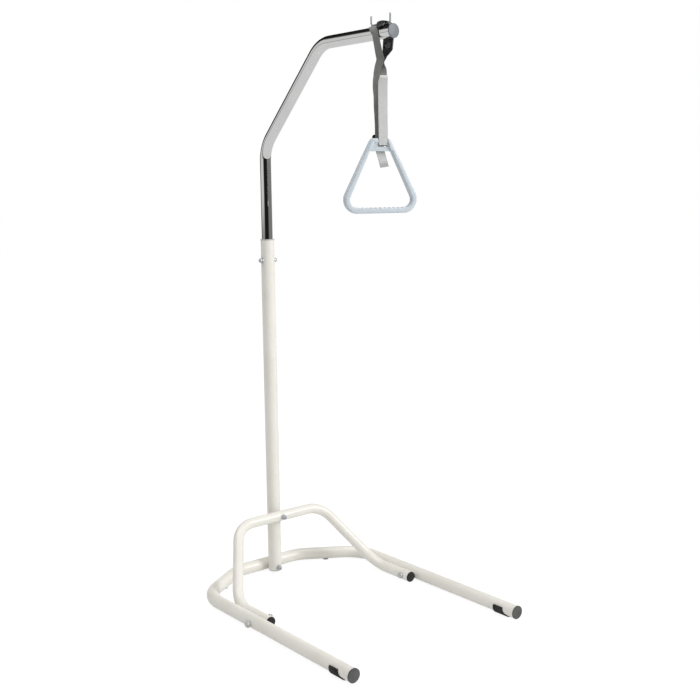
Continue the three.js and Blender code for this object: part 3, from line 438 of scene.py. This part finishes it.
def tubeGrid(path, diameter, wall):
    # path + r*(side*cos a + other*sin a), out along the outside and back along the inside
    points, along = path
    side, other = carriedSides(along)
    a = np.linspace(0, 2 * math.pi, sweep["columns"], endpoint=False)[None, :, None]
    ring = side[:, None] * np.cos(a) + other[:, None] * np.sin(a)
    outer = points[:, None] + ring * diameter / 2 * mm
    inner = points[:, None] + ring * (diameter / 2 - wall) * mm
    return np.concatenate([outer, inner[::-1]])


def tube(node, size, corners, radii):
    # the node's tube, swept round along its own corners and bends
    grid = tubeGrid(bentPath(corners, radii), size["diameter"], size["wall"])
    piece = gridPiece("round_" + node, grid, closedRows=True)
    return finishPiece(piece, [node], finishes[slotOf[node]], bodyOf[node])


base = {
    "diameter": 38, "wall": 1.75, "halfSpread": 305, "frontY": -770, "cornerY": -75.93, "halfRear": 119,
    "rearY": 40.3, "z": 22, "cornerBend": 125, "rearBend": 96,
}
tube("base_frame", base, [
    (-base["halfSpread"], base["frontY"], base["z"]), (-base["halfSpread"], base["cornerY"], base["z"]),
    (-base["halfRear"], base["rearY"], base["z"]), (base["halfRear"], base["rearY"], base["z"]),
    (base["halfSpread"], base["cornerY"], base["z"]), (base["halfSpread"], base["frontY"], base["z"]),
], [base["cornerBend"], base["rearBend"], base["rearBend"], base["cornerBend"]])

arch = {
    "diameter": 32, "wall": 1.75, "footX": 269.7, "footZ": 19, "frontY": -357, "cornerY": -190,
    "halfTop": 160, "topY": -37.3, "topZ": 199, "footBend": 105, "topBend": 80,
}
tube("arch", arch, [
    (-arch["footX"], arch["frontY"], arch["footZ"]), (-arch["footX"], arch["cornerY"], arch["footZ"]),
    (-arch["halfTop"], arch["topY"], arch["topZ"]), (arch["halfTop"], arch["topY"], arch["topZ"]),
    (arch["footX"], arch["cornerY"], arch["footZ"]), (arch["footX"], arch["frontY"], arch["footZ"]),
], [arch["footBend"], arch["topBend"], arch["topBend"], arch["footBend"]])

post = {"diameter": 42, "wall": 2, "bottomZ": 12, "topZ": 1078}
tube("post", post, [(0, 0, post["bottomZ"]), (0, 0, post["topZ"])], [])

boom = {
    "diameter": 35, "wall": 1.75, "bottomZ": 780, "lowCornerZ": 1360, "armCornerY": -286, "armZ": 1638,
    "endY": -592, "bend": 100,
}
boomTube = tube("boom", boom, [
    (0, 0, boom["bottomZ"]), (0, 0, boom["lowCornerZ"]), (0, boom["armCornerY"], boom["armZ"]),
    (0, boom["endY"], boom["armZ"]),
], [boom["bend"], boom["bend"]])


def drillHoles(piece):
    # round rods along X through both walls, one for each height, taken out of the tube
    holes = {"topZ": 1015, "pitch": 30, "count": 7, "radius": 4.2, "reach": 30, "sides": 32}
    work = bmesh.new()
    for step in range(holes["count"]):
        spot = place(0, 0, holes["topZ"] - holes["pitch"] * step)
        turned = Matrix.Translation(spot) @ Matrix.Rotation(math.pi / 2, 4, "Y")
        bmesh.ops.create_cone(
            work, cap_ends=True, segments=holes["sides"], radius1=holes["radius"] * mm,
            radius2=holes["radius"] * mm, depth=2 * holes["reach"] * mm, matrix=turned,
        )
    rods = bpy.data.meshes.new("height_rods")
    work.to_mesh(rods)
    work.free()
    cutter = bpy.data.objects.new("height_rods", rods)
    bpy.context.scene.collection.objects.link(cutter)
    cut = piece.modifiers.new("holes", "BOOLEAN")
    cut.object = cutter
    cut.operation = "DIFFERENCE"
    cut.solver = "EXACT"
    bpy.context.view_layer.update()
    drilled = bpy.data.meshes.new_from_object(piece.evaluated_get(bpy.context.evaluated_depsgraph_get()))
    piece.modifiers.clear()
    piece.data = drilled
    bpy.data.objects.remove(cutter)
    drilled.shade_smooth()
    drilled.set_sharp_from_angle(angle=math.radians(joining["sharpDegrees"]))


drillHoles(boomTube)
print("tubes made")


# Webbing

web = {
    "width": bandWidth, "thickness": 1.6, "crownY": -515.7, "nearY": -542, "waistY": -539.2, "waistZ": 1572,
    "hemZ": 1536, "armGap": 0.6, "clipGap": 0.9, "gripGap": 0.3, "steps": 14,
}
grip = {
    "y": -536, "turn": math.radians(-18), "hubFace": 6, "hubBottomZ": 1332, "slotOffset": 5.75,
    "slotSpare": 3.5,
}
lock = {"offset": 1, "pinZ": 1352, "armTopZ": 1376.5}
clip = {"outer": 23.8, "leanTopZ": 1622, "lean": math.radians(15), "windowY": -549}
snug = boom["diameter"] / 2 + web["armGap"] + web["thickness"] / 2
proud = clip["outer"] + web["clipGap"] + web["thickness"] / 2
beltOut = grip["hubFace"] + web["gripGap"] + web["thickness"] / 2
beltAcross = grip["slotOffset"] + grip["slotSpare"] / 4
seamOut = beltOut - web["thickness"] - web["gripGap"]
gripDegrees = 270 + math.degrees(grip["turn"])  # the way its front looks, from +X
gripAcross = np.array([math.cos(grip["turn"]), math.sin(grip["turn"]), 0])
gripOut = np.array([math.sin(grip["turn"]), -math.cos(grip["turn"]), 0])


def gripSpot(across, out, z):
    # the grip's middle + across*its width direction + out*its front direction
    return place(0, grip["y"], z) + (gripAcross * across + gripOut * out) * mm


def belowWaist(rows):
    # each row holds shares of the width: across, out and down from the waist, and the way the face looks
    w, top = web["width"], web["waistZ"]
    return [(gripSpot(w * a, w * o, top - w * down), level(degrees)) for a, o, down, degrees in rows]


def roundArm(degrees, radius, y):
    # on a circle about the arm, by the angle from straight up, looking outwards
    a = math.radians(degrees)
    facing = np.array([math.sin(a), 0, math.cos(a)])
    return place(radius * facing[0], y, boom["armZ"] + radius * facing[2]), facing


def loopStations():
    # up beside the arm, over it, out over the clip, and leaning in under the clip to the waist
    nearShares = [(0.2, 190), (0.5, 186), (0.8, 183)]
    overArmShares = [(-100, 0.98), (-78, 0.88), (-55, 0.62), (-30, 0.32), (-8, 0.06)]
    overClipShares = [(14, 0, 0), (36, 0.25, 0.05), (60, 0.96, 0.14), (86, 1, 0.32)]
    farShares = [(0.78, 0.72, 0), (0.54, 0.98, 0), (0.32, 0.84, 2), (0.14, 0.66, 8)]
    height = boom["armZ"] - web["waistZ"]
    lean = math.asin(snug / height)
    stations = []
    for share, degrees in nearShares:
        y = web["waistY"] + (web["nearY"] - web["waistY"]) * share
        rise = height * share
        stations.append((place(-rise * math.tan(lean), y, web["waistZ"] + rise), level(degrees)))
    for degrees, share in overArmShares:
        stations.append(roundArm(degrees, snug, web["crownY"] + (web["nearY"] - web["crownY"]) * share))
    for degrees, lift, share in overClipShares:
        y = web["crownY"] + (clip["windowY"] - web["crownY"]) * share
        stations.append(roundArm(degrees, snug + (proud - snug) * lift, y))
    for rise, share, degrees in farShares:
        z = web["waistZ"] + height * rise
        inward = max(0, clip["leanTopZ"] - z) * math.tan(clip["lean"])
        y = web["crownY"] + (clip["windowY"] - web["crownY"]) * share
        dip = math.tan(clip["lean"]) if z < clip["leanTopZ"] else 0
        stations.append((place(proud - inward, y, z), unit(level(degrees) - up * dip)))
    return stations


def rearStations():
    # from the lock up behind the front strap, and turned past its edge to the waist
    atLock = [(gripSpot(lock["offset"], -beltOut, z), level(gripDegrees))
              for z in (lock["pinZ"], lock["armTopZ"] + web["width"])]
    return atLock + belowWaist([
        (0, -0.3, 5.28, 238), (-0.12, -0.2, 3.88, 205), (-0.26, -0.38, 2.68, 180), (-0.41, -0.08, 2.08, 172),
        (-0.37, 0.04, 1.84, 178), (-0.29, 0.08, 1.44, 189), (-0.17, 0.12, 0.76, 188), (0.04, 0.12, 0.03, 192),
    ])


def neckStations():
    # from the waist down to the seam behind the front strap's hem
    seamShares = (0.4, 0.6)
    seam = [(gripSpot(beltAcross, seamOut, web["hemZ"] - web["width"] * share), level(gripDegrees - 180))
            for share in seamShares]
    return belowWaist([
        (0.31, -0.22, 0.03, 12), (0.24, -0.29, 0.2, 15), (0.32, -0.4, 0.76, 32), (0.32, -0.12, 1.08, 52),
        (0.31, 0.1, 1.44, 72),
    ]) + seam


def smoothRun(stations):
    # a centripetal spline: between points 1 and 2 it leaves along m1 and arrives along m2, with
    # m1 = dt1*((p1-p0)/dt0 - (p2-p0)/(dt0+dt1) + (p2-p1)/dt1), and m2 alike, dt being root lengths
    points = np.array([point for point, _ in stations])
    facings = np.array([facing for _, facing in stations])
    padded = np.concatenate([2 * points[:1] - points[1:2], points, 2 * points[-1:] - points[-2:-1]])
    p0, p1, p2, p3 = (padded[i:len(padded) - 3 + i, None] for i in range(4))
    spans = ((p0, p1), (p1, p2), (p2, p3))
    dt0, dt1, dt2 = (np.sqrt(np.linalg.norm(b - a, axis=-1, keepdims=True)) for a, b in spans)
    m1 = dt1 * ((p1 - p0) / dt0 - (p2 - p0) / (dt0 + dt1) + (p2 - p1) / dt1)
    m2 = dt1 * ((p2 - p1) / dt1 - (p3 - p1) / (dt1 + dt2) + (p3 - p2) / dt2)
    t = (np.arange(web["steps"]) / web["steps"])[None, :, None]
    curve = p1 + m1 * t + (3 * (p2 - p1) - 2 * m1 - m2) * t ** 2 + (2 * (p1 - p2) + m1 + m2) * t ** 3
    turned = unit(facings[:-1, None] + (facings[1:, None] - facings[:-1, None]) * t)
    curve = np.concatenate([curve.reshape(-1, 3), points[-1:]])
    return curve, np.concatenate([turned.reshape(-1, 3), facings[-1:]])


def runLength(points):
    # the length walked from the first point to each of the points
    return np.concatenate([[0], np.cumsum(np.linalg.norm(np.diff(points, axis=0), axis=1))])


band = {"columns": 22, "edgeSteps": 6, "endShare": 0.985, "sharpDegrees": 50}


def bandSection():
    # a long section with half-round edges: across from -w/2 to w/2 on one face and back on the other
    w, t = web["width"] / 2 * mm, web["thickness"] / 2 * mm
    face = np.linspace(-(w - t), w - t, band["columns"])
    turn = np.linspace(-math.pi / 2, math.pi / 2, band["edgeSteps"] + 2)[1:-1]
    across = np.concatenate([face, w - t + t * np.cos(turn), face[::-1], -(w - t) - t * np.cos(turn)])
    flat = np.full(band["columns"], t)
    return across, np.concatenate([-flat, t * np.sin(turn), flat, -t * np.sin(turn)])


def bandPiece(name, points, facings, run, widen=1):
    # point + across*a + out*o, its ends drawn in to the middle line
    along = unit(np.gradient(points, axis=0))
    across = unit(np.cross(along, facings))
    out = np.cross(across, along)
    a, o = bandSection()
    a = a * widen
    grid = points[:, None] + across[:, None] * a[:, None] + out[:, None] * o[:, None]
    flat = points[:, None] + across[:, None] * (a * band["endShare"])[:, None]
    grid = np.concatenate([flat[:1], grid, flat[-1:]])
    run = np.concatenate([run[:1], run, run[-1:]])
    spread = (len(run), len(a) + 1)
    uv = np.stack([np.broadcast_to(np.append(a, a[0]), spread), np.broadcast_to(run[:, None], spread)], -1)
    return gridPiece(name, grid, uv=uv, sharpDegrees=band["sharpDegrees"])


# Sizes on the webbing between two bodies: the length above the waist, and heights on the straps
bends = {"fold": 6, "rearTopZ": 1505, "rearLowZ": 1385, "frontTopZ": 1515, "frontLowZ": 1370}


def webbing():
    # one smooth run from the lock over the arm to the seam, cut at the waist into its three pieces
    rear, loop, neck = rearStations(), loopStations(), neckStations()
    points, facings = smoothRun(rear + loop + neck)
    run = runLength(points)
    first = (len(rear) - 1) * web["steps"]
    second = (len(rear) + len(loop)) * web["steps"]

    def part(name, start, end):
        return bandPiece(name, points[start:end], facings[start:end], run[start:end])

    waist = points[first]
    top = waist + up * bends["fold"] * mm
    whole = part("webbing_loop", first, second + 1)
    finishPiece(whole, ["strap_loop"], finishes["webbing_dark"])
    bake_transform(whole)
    lower = part("webbing_rear", 0, first + 1)
    finishPiece(lower, ["strap_rear"], finishes["webbing_dark"])
    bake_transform(lower)
    seam = part("webbing_neck", second, len(points))
    finishPiece(seam, ["strap_neck"], finishes["webbing_dark"], "strap")


def frontStrap():
    # down from the hem, untwisting, then bent back through the grip's slot; rows: share down, mm aside and
    # out, and the twist in degrees
    front = {
        "rows": [(0.033, 0.1, 0.8, 11), (0.25, -0.35, 0.4, 6), (0.6, -0.15, 0, 2), (1, 0, 0, 0)],
        "bendZ": 1353.6, "slotZ": 1348.25, "slotGap": 0.3, "widen": 1.06,
    }
    fall = front["bendZ"] - web["hemZ"]
    stations = []
    for down, aside, out, turn in front["rows"]:
        spot = gripSpot(beltAcross + aside, beltOut + out, web["hemZ"] + fall * down)
        stations.append((spot, level(gripDegrees - turn)))
    bent = gripSpot(beltAcross, grip["hubFace"] - front["slotGap"], front["slotZ"])
    stations.append((bent, unit(level(gripDegrees) - up)))
    stations.append((gripSpot(beltAcross, 0, front["slotZ"]), -up))
    points, facings = smoothRun(stations)
    piece = bandPiece("webbing_front", points, facings, runLength(points), front["widen"])
    # its material paints a near-white highlight along the top fold
    finishPiece(piece, ["strap_front"], hemmedAndHighlit["strap_front"])
    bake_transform(piece)


def looseTail():
    # hangs from the lock and leans out and aside below the hub; rows: shares down, out and aside
    tail = {
        "rows": [(0, 0, 0), (0.28, 0, 0.2), (0.42, 0.12, 0.42), (0.7, 0.55, 0.72), (1, 1, 1)],
        "length": 42, "gap": 0.6, "asideShare": 0.38, "outShare": 0.54,
    }
    top = lock["pinZ"] - tail["gap"]
    drop = top - grip["hubBottomZ"] + tail["length"]
    sideways, outwards = web["width"] * tail["asideShare"], web["width"] * tail["outShare"]
    stations = []
    for down, out, aside in tail["rows"]:
        spot = gripSpot(lock["offset"] + sideways * aside, -beltOut + outwards * out, top - drop * down)
        stations.append((spot, level(gripDegrees)))
    points, facings = smoothRun(stations)
    piece = bandPiece("webbing_tail", points, facings, runLength(points))
    finishPiece(piece, ["strap_tail"], hemmedAndHighlit["strap_tail"], "handle")


webbing()
frontStrap()
looseTail()
print("webbing made")


# Grip

# below the cut a ring, whose two outlines run along half + slope*(lineZ - z) to round corners and a bar with
# ripples; above the cut the CAD grip
ring = {
    "cutZ": 1318, "gap": 3, "lineZ": 1321, "outerHalf": 50.2, "outerSlope": 0.5124, "innerHalf": 36.2,
    "innerSlope": 0.476, "bottomZ": 1167, "barTopZ": 1183, "outerRadius": 37.5, "innerRadius": 20.5,
    "thickness": 20, "rounding": 5, "ripples": 10, "pitch": 13, "depth": 1.6, "sideSteps": 12,
    "cornerSteps": 26, "barSteps": 150, "roundSteps": 9,
}
gripMiddle = place(0, grip["y"], 0)


def gripTop():
    # the CAD grip above the cut, its points moved across so that the edges at each height reach new places
    edges = {
        "z": [1300, 1321, 1340, 1352, 1366],
        "innerOld": [39, 30.3, 24, 20, 16], "innerNew": [42.2, 32, 25, 20, 16],
        "outerOld": [62.4, 51, 42, 35.5, 31], "outerNew": [64.9, 54.3, 45.2, 37.5, 31.5],
    }
    mesh = frame["nodes"]["handle"].data.copy()
    work = bmesh.new()
    work.from_mesh(mesh)
    bmesh.ops.remove_doubles(work, verts=work.verts, dist=joining["weld"])
    parts = [*work.verts, *work.edges, *work.faces]
    plane = {"plane_co": place(0, 0, ring["cutZ"]), "plane_no": up}
    bmesh.ops.bisect_plane(work, geom=parts, clear_inner=True, **plane)
    work.to_mesh(mesh)
    work.free()
    spots = np.empty(len(mesh.vertices) * 3, np.float32)
    mesh.vertices.foreach_get("co", spots)
    spots = spots.reshape(-1, 3).astype(float)
    across = (spots - gripMiddle) @ gripAcross / mm
    height = spots[:, 2] / mm
    keys = ("innerOld", "innerNew", "outerOld", "outerNew")
    innerOld, innerNew, outerOld, outerNew = (np.interp(height, edges["z"], edges[key]) for key in keys)
    half = np.abs(across)
    inside = half / innerOld * innerNew
    beyond = innerNew + (half - innerOld) / (outerOld - innerOld) * (outerNew - innerNew)
    moved = np.sign(across) * np.where(half < innerOld, inside, beyond)
    spots += gripAcross * (moved - across)[:, None] * mm
    mesh.vertices.foreach_set("co", spots.reshape(-1))
    return mesh


def ringOutline(half, slope, radius, lowZ):
    # one side down to the corner's tangent, then the corner: centre + r*(cos a, sin a) to its lowest point
    tilt = math.atan(slope)
    lowHalf = half + slope * (ring["lineZ"] - lowZ)
    centre = np.array([lowHalf - (slope + math.hypot(1, slope)) * radius, lowZ + radius])
    a = np.linspace(tilt, -math.pi / 2, ring["cornerSteps"])[:, None]
    corner = centre + radius * np.concatenate([np.cos(a), np.sin(a)], 1)
    topZ = ring["cutZ"] - ring["gap"]
    top = np.array([half + slope * (ring["lineZ"] - topZ), topZ])
    v = np.linspace(0, 1, ring["sideSteps"], endpoint=False)[:, None]
    return np.concatenate([top + (corner[:1] - top) * v, corner])


def gripRing():
    # inner + (outer - inner)*s and depth t, with (s, t) round a rectangle with round corners
    outer = ringOutline(ring["outerHalf"], ring["outerSlope"], ring["outerRadius"], ring["bottomZ"])
    inner = ringOutline(ring["innerHalf"], ring["innerSlope"], ring["innerRadius"], ring["barTopZ"])
    share = np.linspace(1, -1, ring["barSteps"] + 1)[1:-1, None]
    barOuter, barInner = ([edge[-1, 0], 0] * share + [0, edge[-1, 1]] for edge in (outer, inner))
    rippled = np.abs(barInner[:, 0]) < ring["ripples"] / 2 * ring["pitch"]
    phase = (barInner[:, 0] / ring["pitch"] + ring["ripples"] / 2) % 1 - 1 / 2
    # each ripple hangs down by depth*(1 - (2*phase)**2)
    barInner[:, 1] -= ring["depth"] * (1 - (2 * phase) ** 2) * rippled
    mirror = np.array([-1, 1])
    outer = np.concatenate([outer, barOuter, outer[::-1] * mirror])
    inner = np.concatenate([inner, barInner, inner[::-1] * mirror])
    run = outer - inner
    length = np.linalg.norm(run, axis=1, keepdims=True)
    r, depth = ring["rounding"], ring["thickness"] / 2
    turn = np.linspace(0, math.pi / 2, ring["roundSteps"])
    # side 1 is the outer outline and face 1 the front; each corner turns on by a quarter
    corners = [(side, face, turn + k * math.pi / 2)
               for k, (side, face) in enumerate([(1, 1), (-1, 1), (-1, -1), (1, -1)])]
    s = [length * (1 + side) / 2 + r * (np.cos(a) - side)[None, :] for side, _, a in corners]
    t = np.concatenate([face * (depth - r) + r * np.sin(a) for _, face, a in corners])
    flat = inner[:, None] + (run / length)[:, None] * np.concatenate(s, 1)[..., None]
    spots = flat[..., :1] * gripAcross + flat[..., 1:] * up + t[None, :, None] * gripOut
    return gripMiddle + spots * mm


def wholeGrip():
    # the ring's two open ends are bridged to the open ends of the grip's upper part
    lower = gridPiece("grip_ring", gripRing())
    work = bmesh.new()
    work.from_mesh(lower.data)
    work.from_mesh(gripTop())
    rims = [edge for edge in work.edges if edge.is_boundary]
    for side in (-1, 1):
        near = [edge for edge in rims if side * gripAcross @ (np.array(edge.verts[0].co) - gripMiddle) > 0]
        bmesh.ops.bridge_loops(work, edges=near)
    whole = bpy.data.meshes.new("fine_handle")
    work.to_mesh(whole)
    work.free()
    bpy.data.objects.remove(lower)
    piece = leading(settled("fine_handle", whole, joining["sharpDegrees"]))
    finishPiece(piece, ["handle"], finishes["grip_plastic"], "handle")


wholeGrip()
print("grip made")


# Small pieces

def legPad(side):
    # a shell under the leg: angles up to half(u) each way from straight down, less towards the front lip
    pad = {
        "backY": -696.5, "frontY": -745, "inner": 19.15, "outer": 21.9, "tall": 113, "low": 52,
        "fallFrom": 0.72, "fallTo": 0.88, "fallPower": 0.8, "rounding": 0.06, "endShare": 0.9, "rows": 60,
        "columns": 36,
    }
    u = np.linspace(0, 1, pad["rows"])
    fall = np.clip((u - pad["fallFrom"]) / (pad["fallTo"] - pad["fallFrom"]), 0, 1)
    half = pad["tall"] + (pad["low"] - pad["tall"]) * np.sin(fall * math.pi / 2) ** pad["fallPower"]
    fromEnd = np.clip(np.minimum(u, 1 - u) / pad["rounding"], 0, 1)
    full = pad["endShare"] + (1 - pad["endShare"]) * np.sqrt(1 - (1 - fromEnd) ** 2)
    half = np.radians(half * full)
    share = np.linspace(-1, 1, pad["columns"])
    angle = half[:, None] * np.concatenate([share, share[::-1]])[None, :]
    radius = np.repeat([pad["outer"], pad["inner"]], pad["columns"])[None, :] + 0 * angle
    y = pad["backY"] + (pad["frontY"] - pad["backY"]) * u[:, None] + 0 * angle
    x = side * base["halfSpread"] + radius * np.sin(angle)
    grid = place(0, 0, base["z"]) + np.stack([x, y, -radius * np.cos(angle)], -1) * mm
    grid[..., 2] = np.maximum(grid[..., 2], 0)
    middle = (grid[:, :pad["columns"]] + grid[:, pad["columns"]:][:, ::-1]) / 2
    ends = np.concatenate([middle, middle[:, ::-1]], 1)
    return np.concatenate([ends[:1], grid, ends[-1:]])


for side, node in ((-1, "leg_pad_left"), (1, "leg_pad_right")):
    finishPiece(gridPiece("round_" + node, legPad(side)), [node], finishes["black_rubber"], bodyOf[node])
for node in ("foot_nut_left", "foot_nut_right", "rear_glide_left", "rear_glide_right"):
    finishPiece(smoothCopy(node), [node], finishes["pale_plastic"], bodyOf[node])
finishPiece(smoothCopy("strap_guide"), ["strap_guide"], wirePlate(), bodyOf["strap_guide"])

# The other nodes keep their shape
shown = [node for node in frame["nodes"] if not frame["nodes"][node].hide_render]
for node in shown:
    finishPiece(smoothCopy(node), [node], finishes[slotOf[node]], bodyOf[node])
print("small pieces made:", len(shown))


# Studio

# angles in degrees, the spot in millimetres from the foot of the post, the focal length in the frame's pixels
view = {
    "azimuth": -39.24, "pitch": -8.85, "roll": -0.68, "spot": (-1894.6, -2718.7, 1243.8),
    "focal": 1060.25, "frame": 700, "sensor": 36,
}


def cameraAsPhotographed():
    # columns right, up and back of the view, from azimuth, pitch and roll
    azimuth, pitch, roll = (math.radians(view[key]) for key in ("azimuth", "pitch", "roll"))
    flat = math.cos(pitch)
    forward = np.array([-math.sin(azimuth) * flat, math.cos(azimuth) * flat, math.sin(pitch)])
    right = np.array([math.cos(azimuth), math.sin(azimuth), 0])
    above = np.cross(right, forward)
    rolledRight = right * math.cos(roll) + above * math.sin(roll)
    rolledUp = above * math.cos(roll) - right * math.sin(roll)
    data = bpy.data.cameras.new("photo camera")
    data.sensor_width = view["sensor"]
    data.lens = view["focal"] / view["frame"] * view["sensor"]
    camera = bpy.data.objects.new("photo camera", data)
    bpy.context.scene.collection.objects.link(camera)
    columns = np.stack([rolledRight, rolledUp, -forward, place(*view["spot"])], 1)
    camera.matrix_world = Matrix([*columns.tolist(), [0, 0, 0, 1]])
    bpy.context.scene.camera = camera


def softbox(name, spot, aim, width, height, watts):
    # columns side, up and back of the lamp, whose back looks away from its aim
    data = bpy.data.lights.new(name, "AREA")
    data.shape = "RECTANGLE"
    data.size, data.size_y, data.energy = width, height, watts
    direction = unit(np.array(aim) - np.array(spot))
    side = unit(np.cross(direction, up))
    columns = np.stack([side, np.cross(side, direction), -direction, np.array(spot)], 1)
    lamp = bpy.data.objects.new(name, data)
    lamp.matrix_world = Matrix([*columns.tolist(), [0, 0, 0, 1]])
    bpy.context.scene.collection.objects.link(lamp)


def paleFloor():
    # seen directly it is mostly white light, so only the soft shadows stay; it lights the rest as matt white
    look = {"reach": 40, "matt": 0.86, "whiteShare": 0.8, "whiteStrength": 1.14, "mirrored": 0.66}
    reach = look["reach"]
    corners = [(-reach, -reach, 0), (reach, -reach, 0), (reach, reach, 0), (-reach, reach, 0)]
    mesh = bpy.data.meshes.new("studio_floor")
    mesh.from_pydata(corners, [], [(0, 1, 2, 3)])
    floor = bpy.data.objects.new("studio_floor", mesh)
    bpy.context.scene.collection.objects.link(floor)
    finish = Finish("white floor")
    seen = finish.node("ShaderNodeLightPath", {}, {}, "Is Camera Ray")
    mirrored = finish.node("ShaderNodeLightPath", {}, {}, "Is Glossy Ray")
    matt = finish.node("ShaderNodeBsdfDiffuse", {}, {"Color": (look["matt"],) * 3 + (1,)})
    strength = seen * look["whiteStrength"] + mirrored * look["mirrored"]
    glow = finish.node("ShaderNodeEmission", {}, {"Color": (1, 1, 1, 1), "Strength": strength})
    share = seen * look["whiteShare"] + mirrored
    mesh.materials.append(finish.show(finish.node("ShaderNodeMixShader", {}, {0: share, 1: matt, 2: glow})))


def studioDome():
    # walls that only reflections see: a soft box on the left, a white wall behind, grey on the right, dark
    # elsewhere; each wall is a product of steps across, away and up, in the directions of the view
    dome = {
        "radius": 9, "rows": 24, "columns": 48, "floorAngle": -0.1, "tint": (1, 0.99, 0.97, 1),
        "dark": 0.012, "left": 0.62, "back": 0.9, "right": 0.2, "lowShare": 0.38,
    }
    edge = {
        "left": (0.6, 0.78), "leftAway": (0.3, 0.5), "sideTop": (0.5, 0.7), "leftFoot": (0.06, 0.13),
        "back": (0.72, 0.84), "backTop": (0.26, 0.36), "right": (0.5, 0.8),
    }
    rise = np.linspace(dome["floorAngle"], math.pi / 2, dome["rows"])[:, None]
    around = np.linspace(0, 2 * math.pi, dome["columns"], endpoint=False)[None, :]
    flat = np.cos(rise)
    grid = np.stack([flat * np.cos(around), flat * np.sin(around), np.sin(rise) + 0 * around], -1)
    shell = gridPiece("studio_dome", dome["radius"] * grid)
    finish = Finish("studio walls")
    turned = {"Rotation": (0, 0, math.radians(-view["azimuth"])), "Scale": (1 / dome["radius"],) * 3}
    spot = finish.node("ShaderNodeMapping", {}, {"Vector": finish.spot(), **turned})
    across, away, height = (finish.node("ShaderNodeSeparateXYZ", {}, {0: spot}, k) for k in range(3))
    belowTop = 1 - height.steps(*edge["sideTop"])
    left = (0 - across).steps(*edge["left"]) * (1 - away.steps(*edge["leftAway"])) * belowTop
    left = left * (dome["lowShare"] + height.steps(*edge["leftFoot"]) * (1 - dome["lowShare"]))
    back = away.steps(*edge["back"]) * (1 - height.steps(*edge["backTop"]))
    right = across.steps(*edge["right"]) * belowTop
    strength = dome["dark"] + left * dome["left"] + back * dome["back"] + right * dome["right"]
    glow = finish.node("ShaderNodeEmission", {}, {"Color": dome["tint"], "Strength": strength})
    shell.data.materials.append(finish.show(glow))
    shell.visible_camera = False
    shell.visible_diffuse = False
    shell.visible_shadow = False
    shell.visible_transmission = False


def whiteRoom():
    # white where the camera looks, plain soft light for the rest
    softLight = 0.5
    world = bpy.data.worlds.new("white room")
    world.use_nodes = True
    bpy.context.scene.world = world
    tree = world.node_tree
    tree.nodes.clear()
    path = tree.nodes.new("ShaderNodeLightPath")
    light = tree.nodes.new("ShaderNodeBackground")
    light.inputs["Strength"].default_value = softLight
    white = tree.nodes.new("ShaderNodeBackground")
    for shade in (light, white):
        shade.inputs["Color"].default_value = (1, 1, 1, 1)
    mixed = tree.nodes.new("ShaderNodeMixShader")
    output = tree.nodes.new("ShaderNodeOutputWorld")
    tree.links.new(path.outputs["Is Camera Ray"], mixed.inputs[0])
    tree.links.new(light.outputs[0], mixed.inputs[1])
    tree.links.new(white.outputs[0], mixed.inputs[2])
    tree.links.new(mixed.outputs[0], output.inputs["Surface"])


lamps = {
    "key": {"spot": (1.9, -3.0, 2.6), "aim": (0, 0, 0.9), "width": 1.6, "height": 2.0, "watts": 95},
    "overhead": {"spot": (-0.6, 0.4, 4.2), "aim": (0, 0, 0), "width": 2.4, "height": 2.4, "watts": 60},
}
cameraAsPhotographed()
paleFloor()
studioDome()
whiteRoom()
for name, lamp in lamps.items():
    softbox(name, **lamp)
bpy.context.scene.view_settings.view_transform = "Standard"
print("studio made")
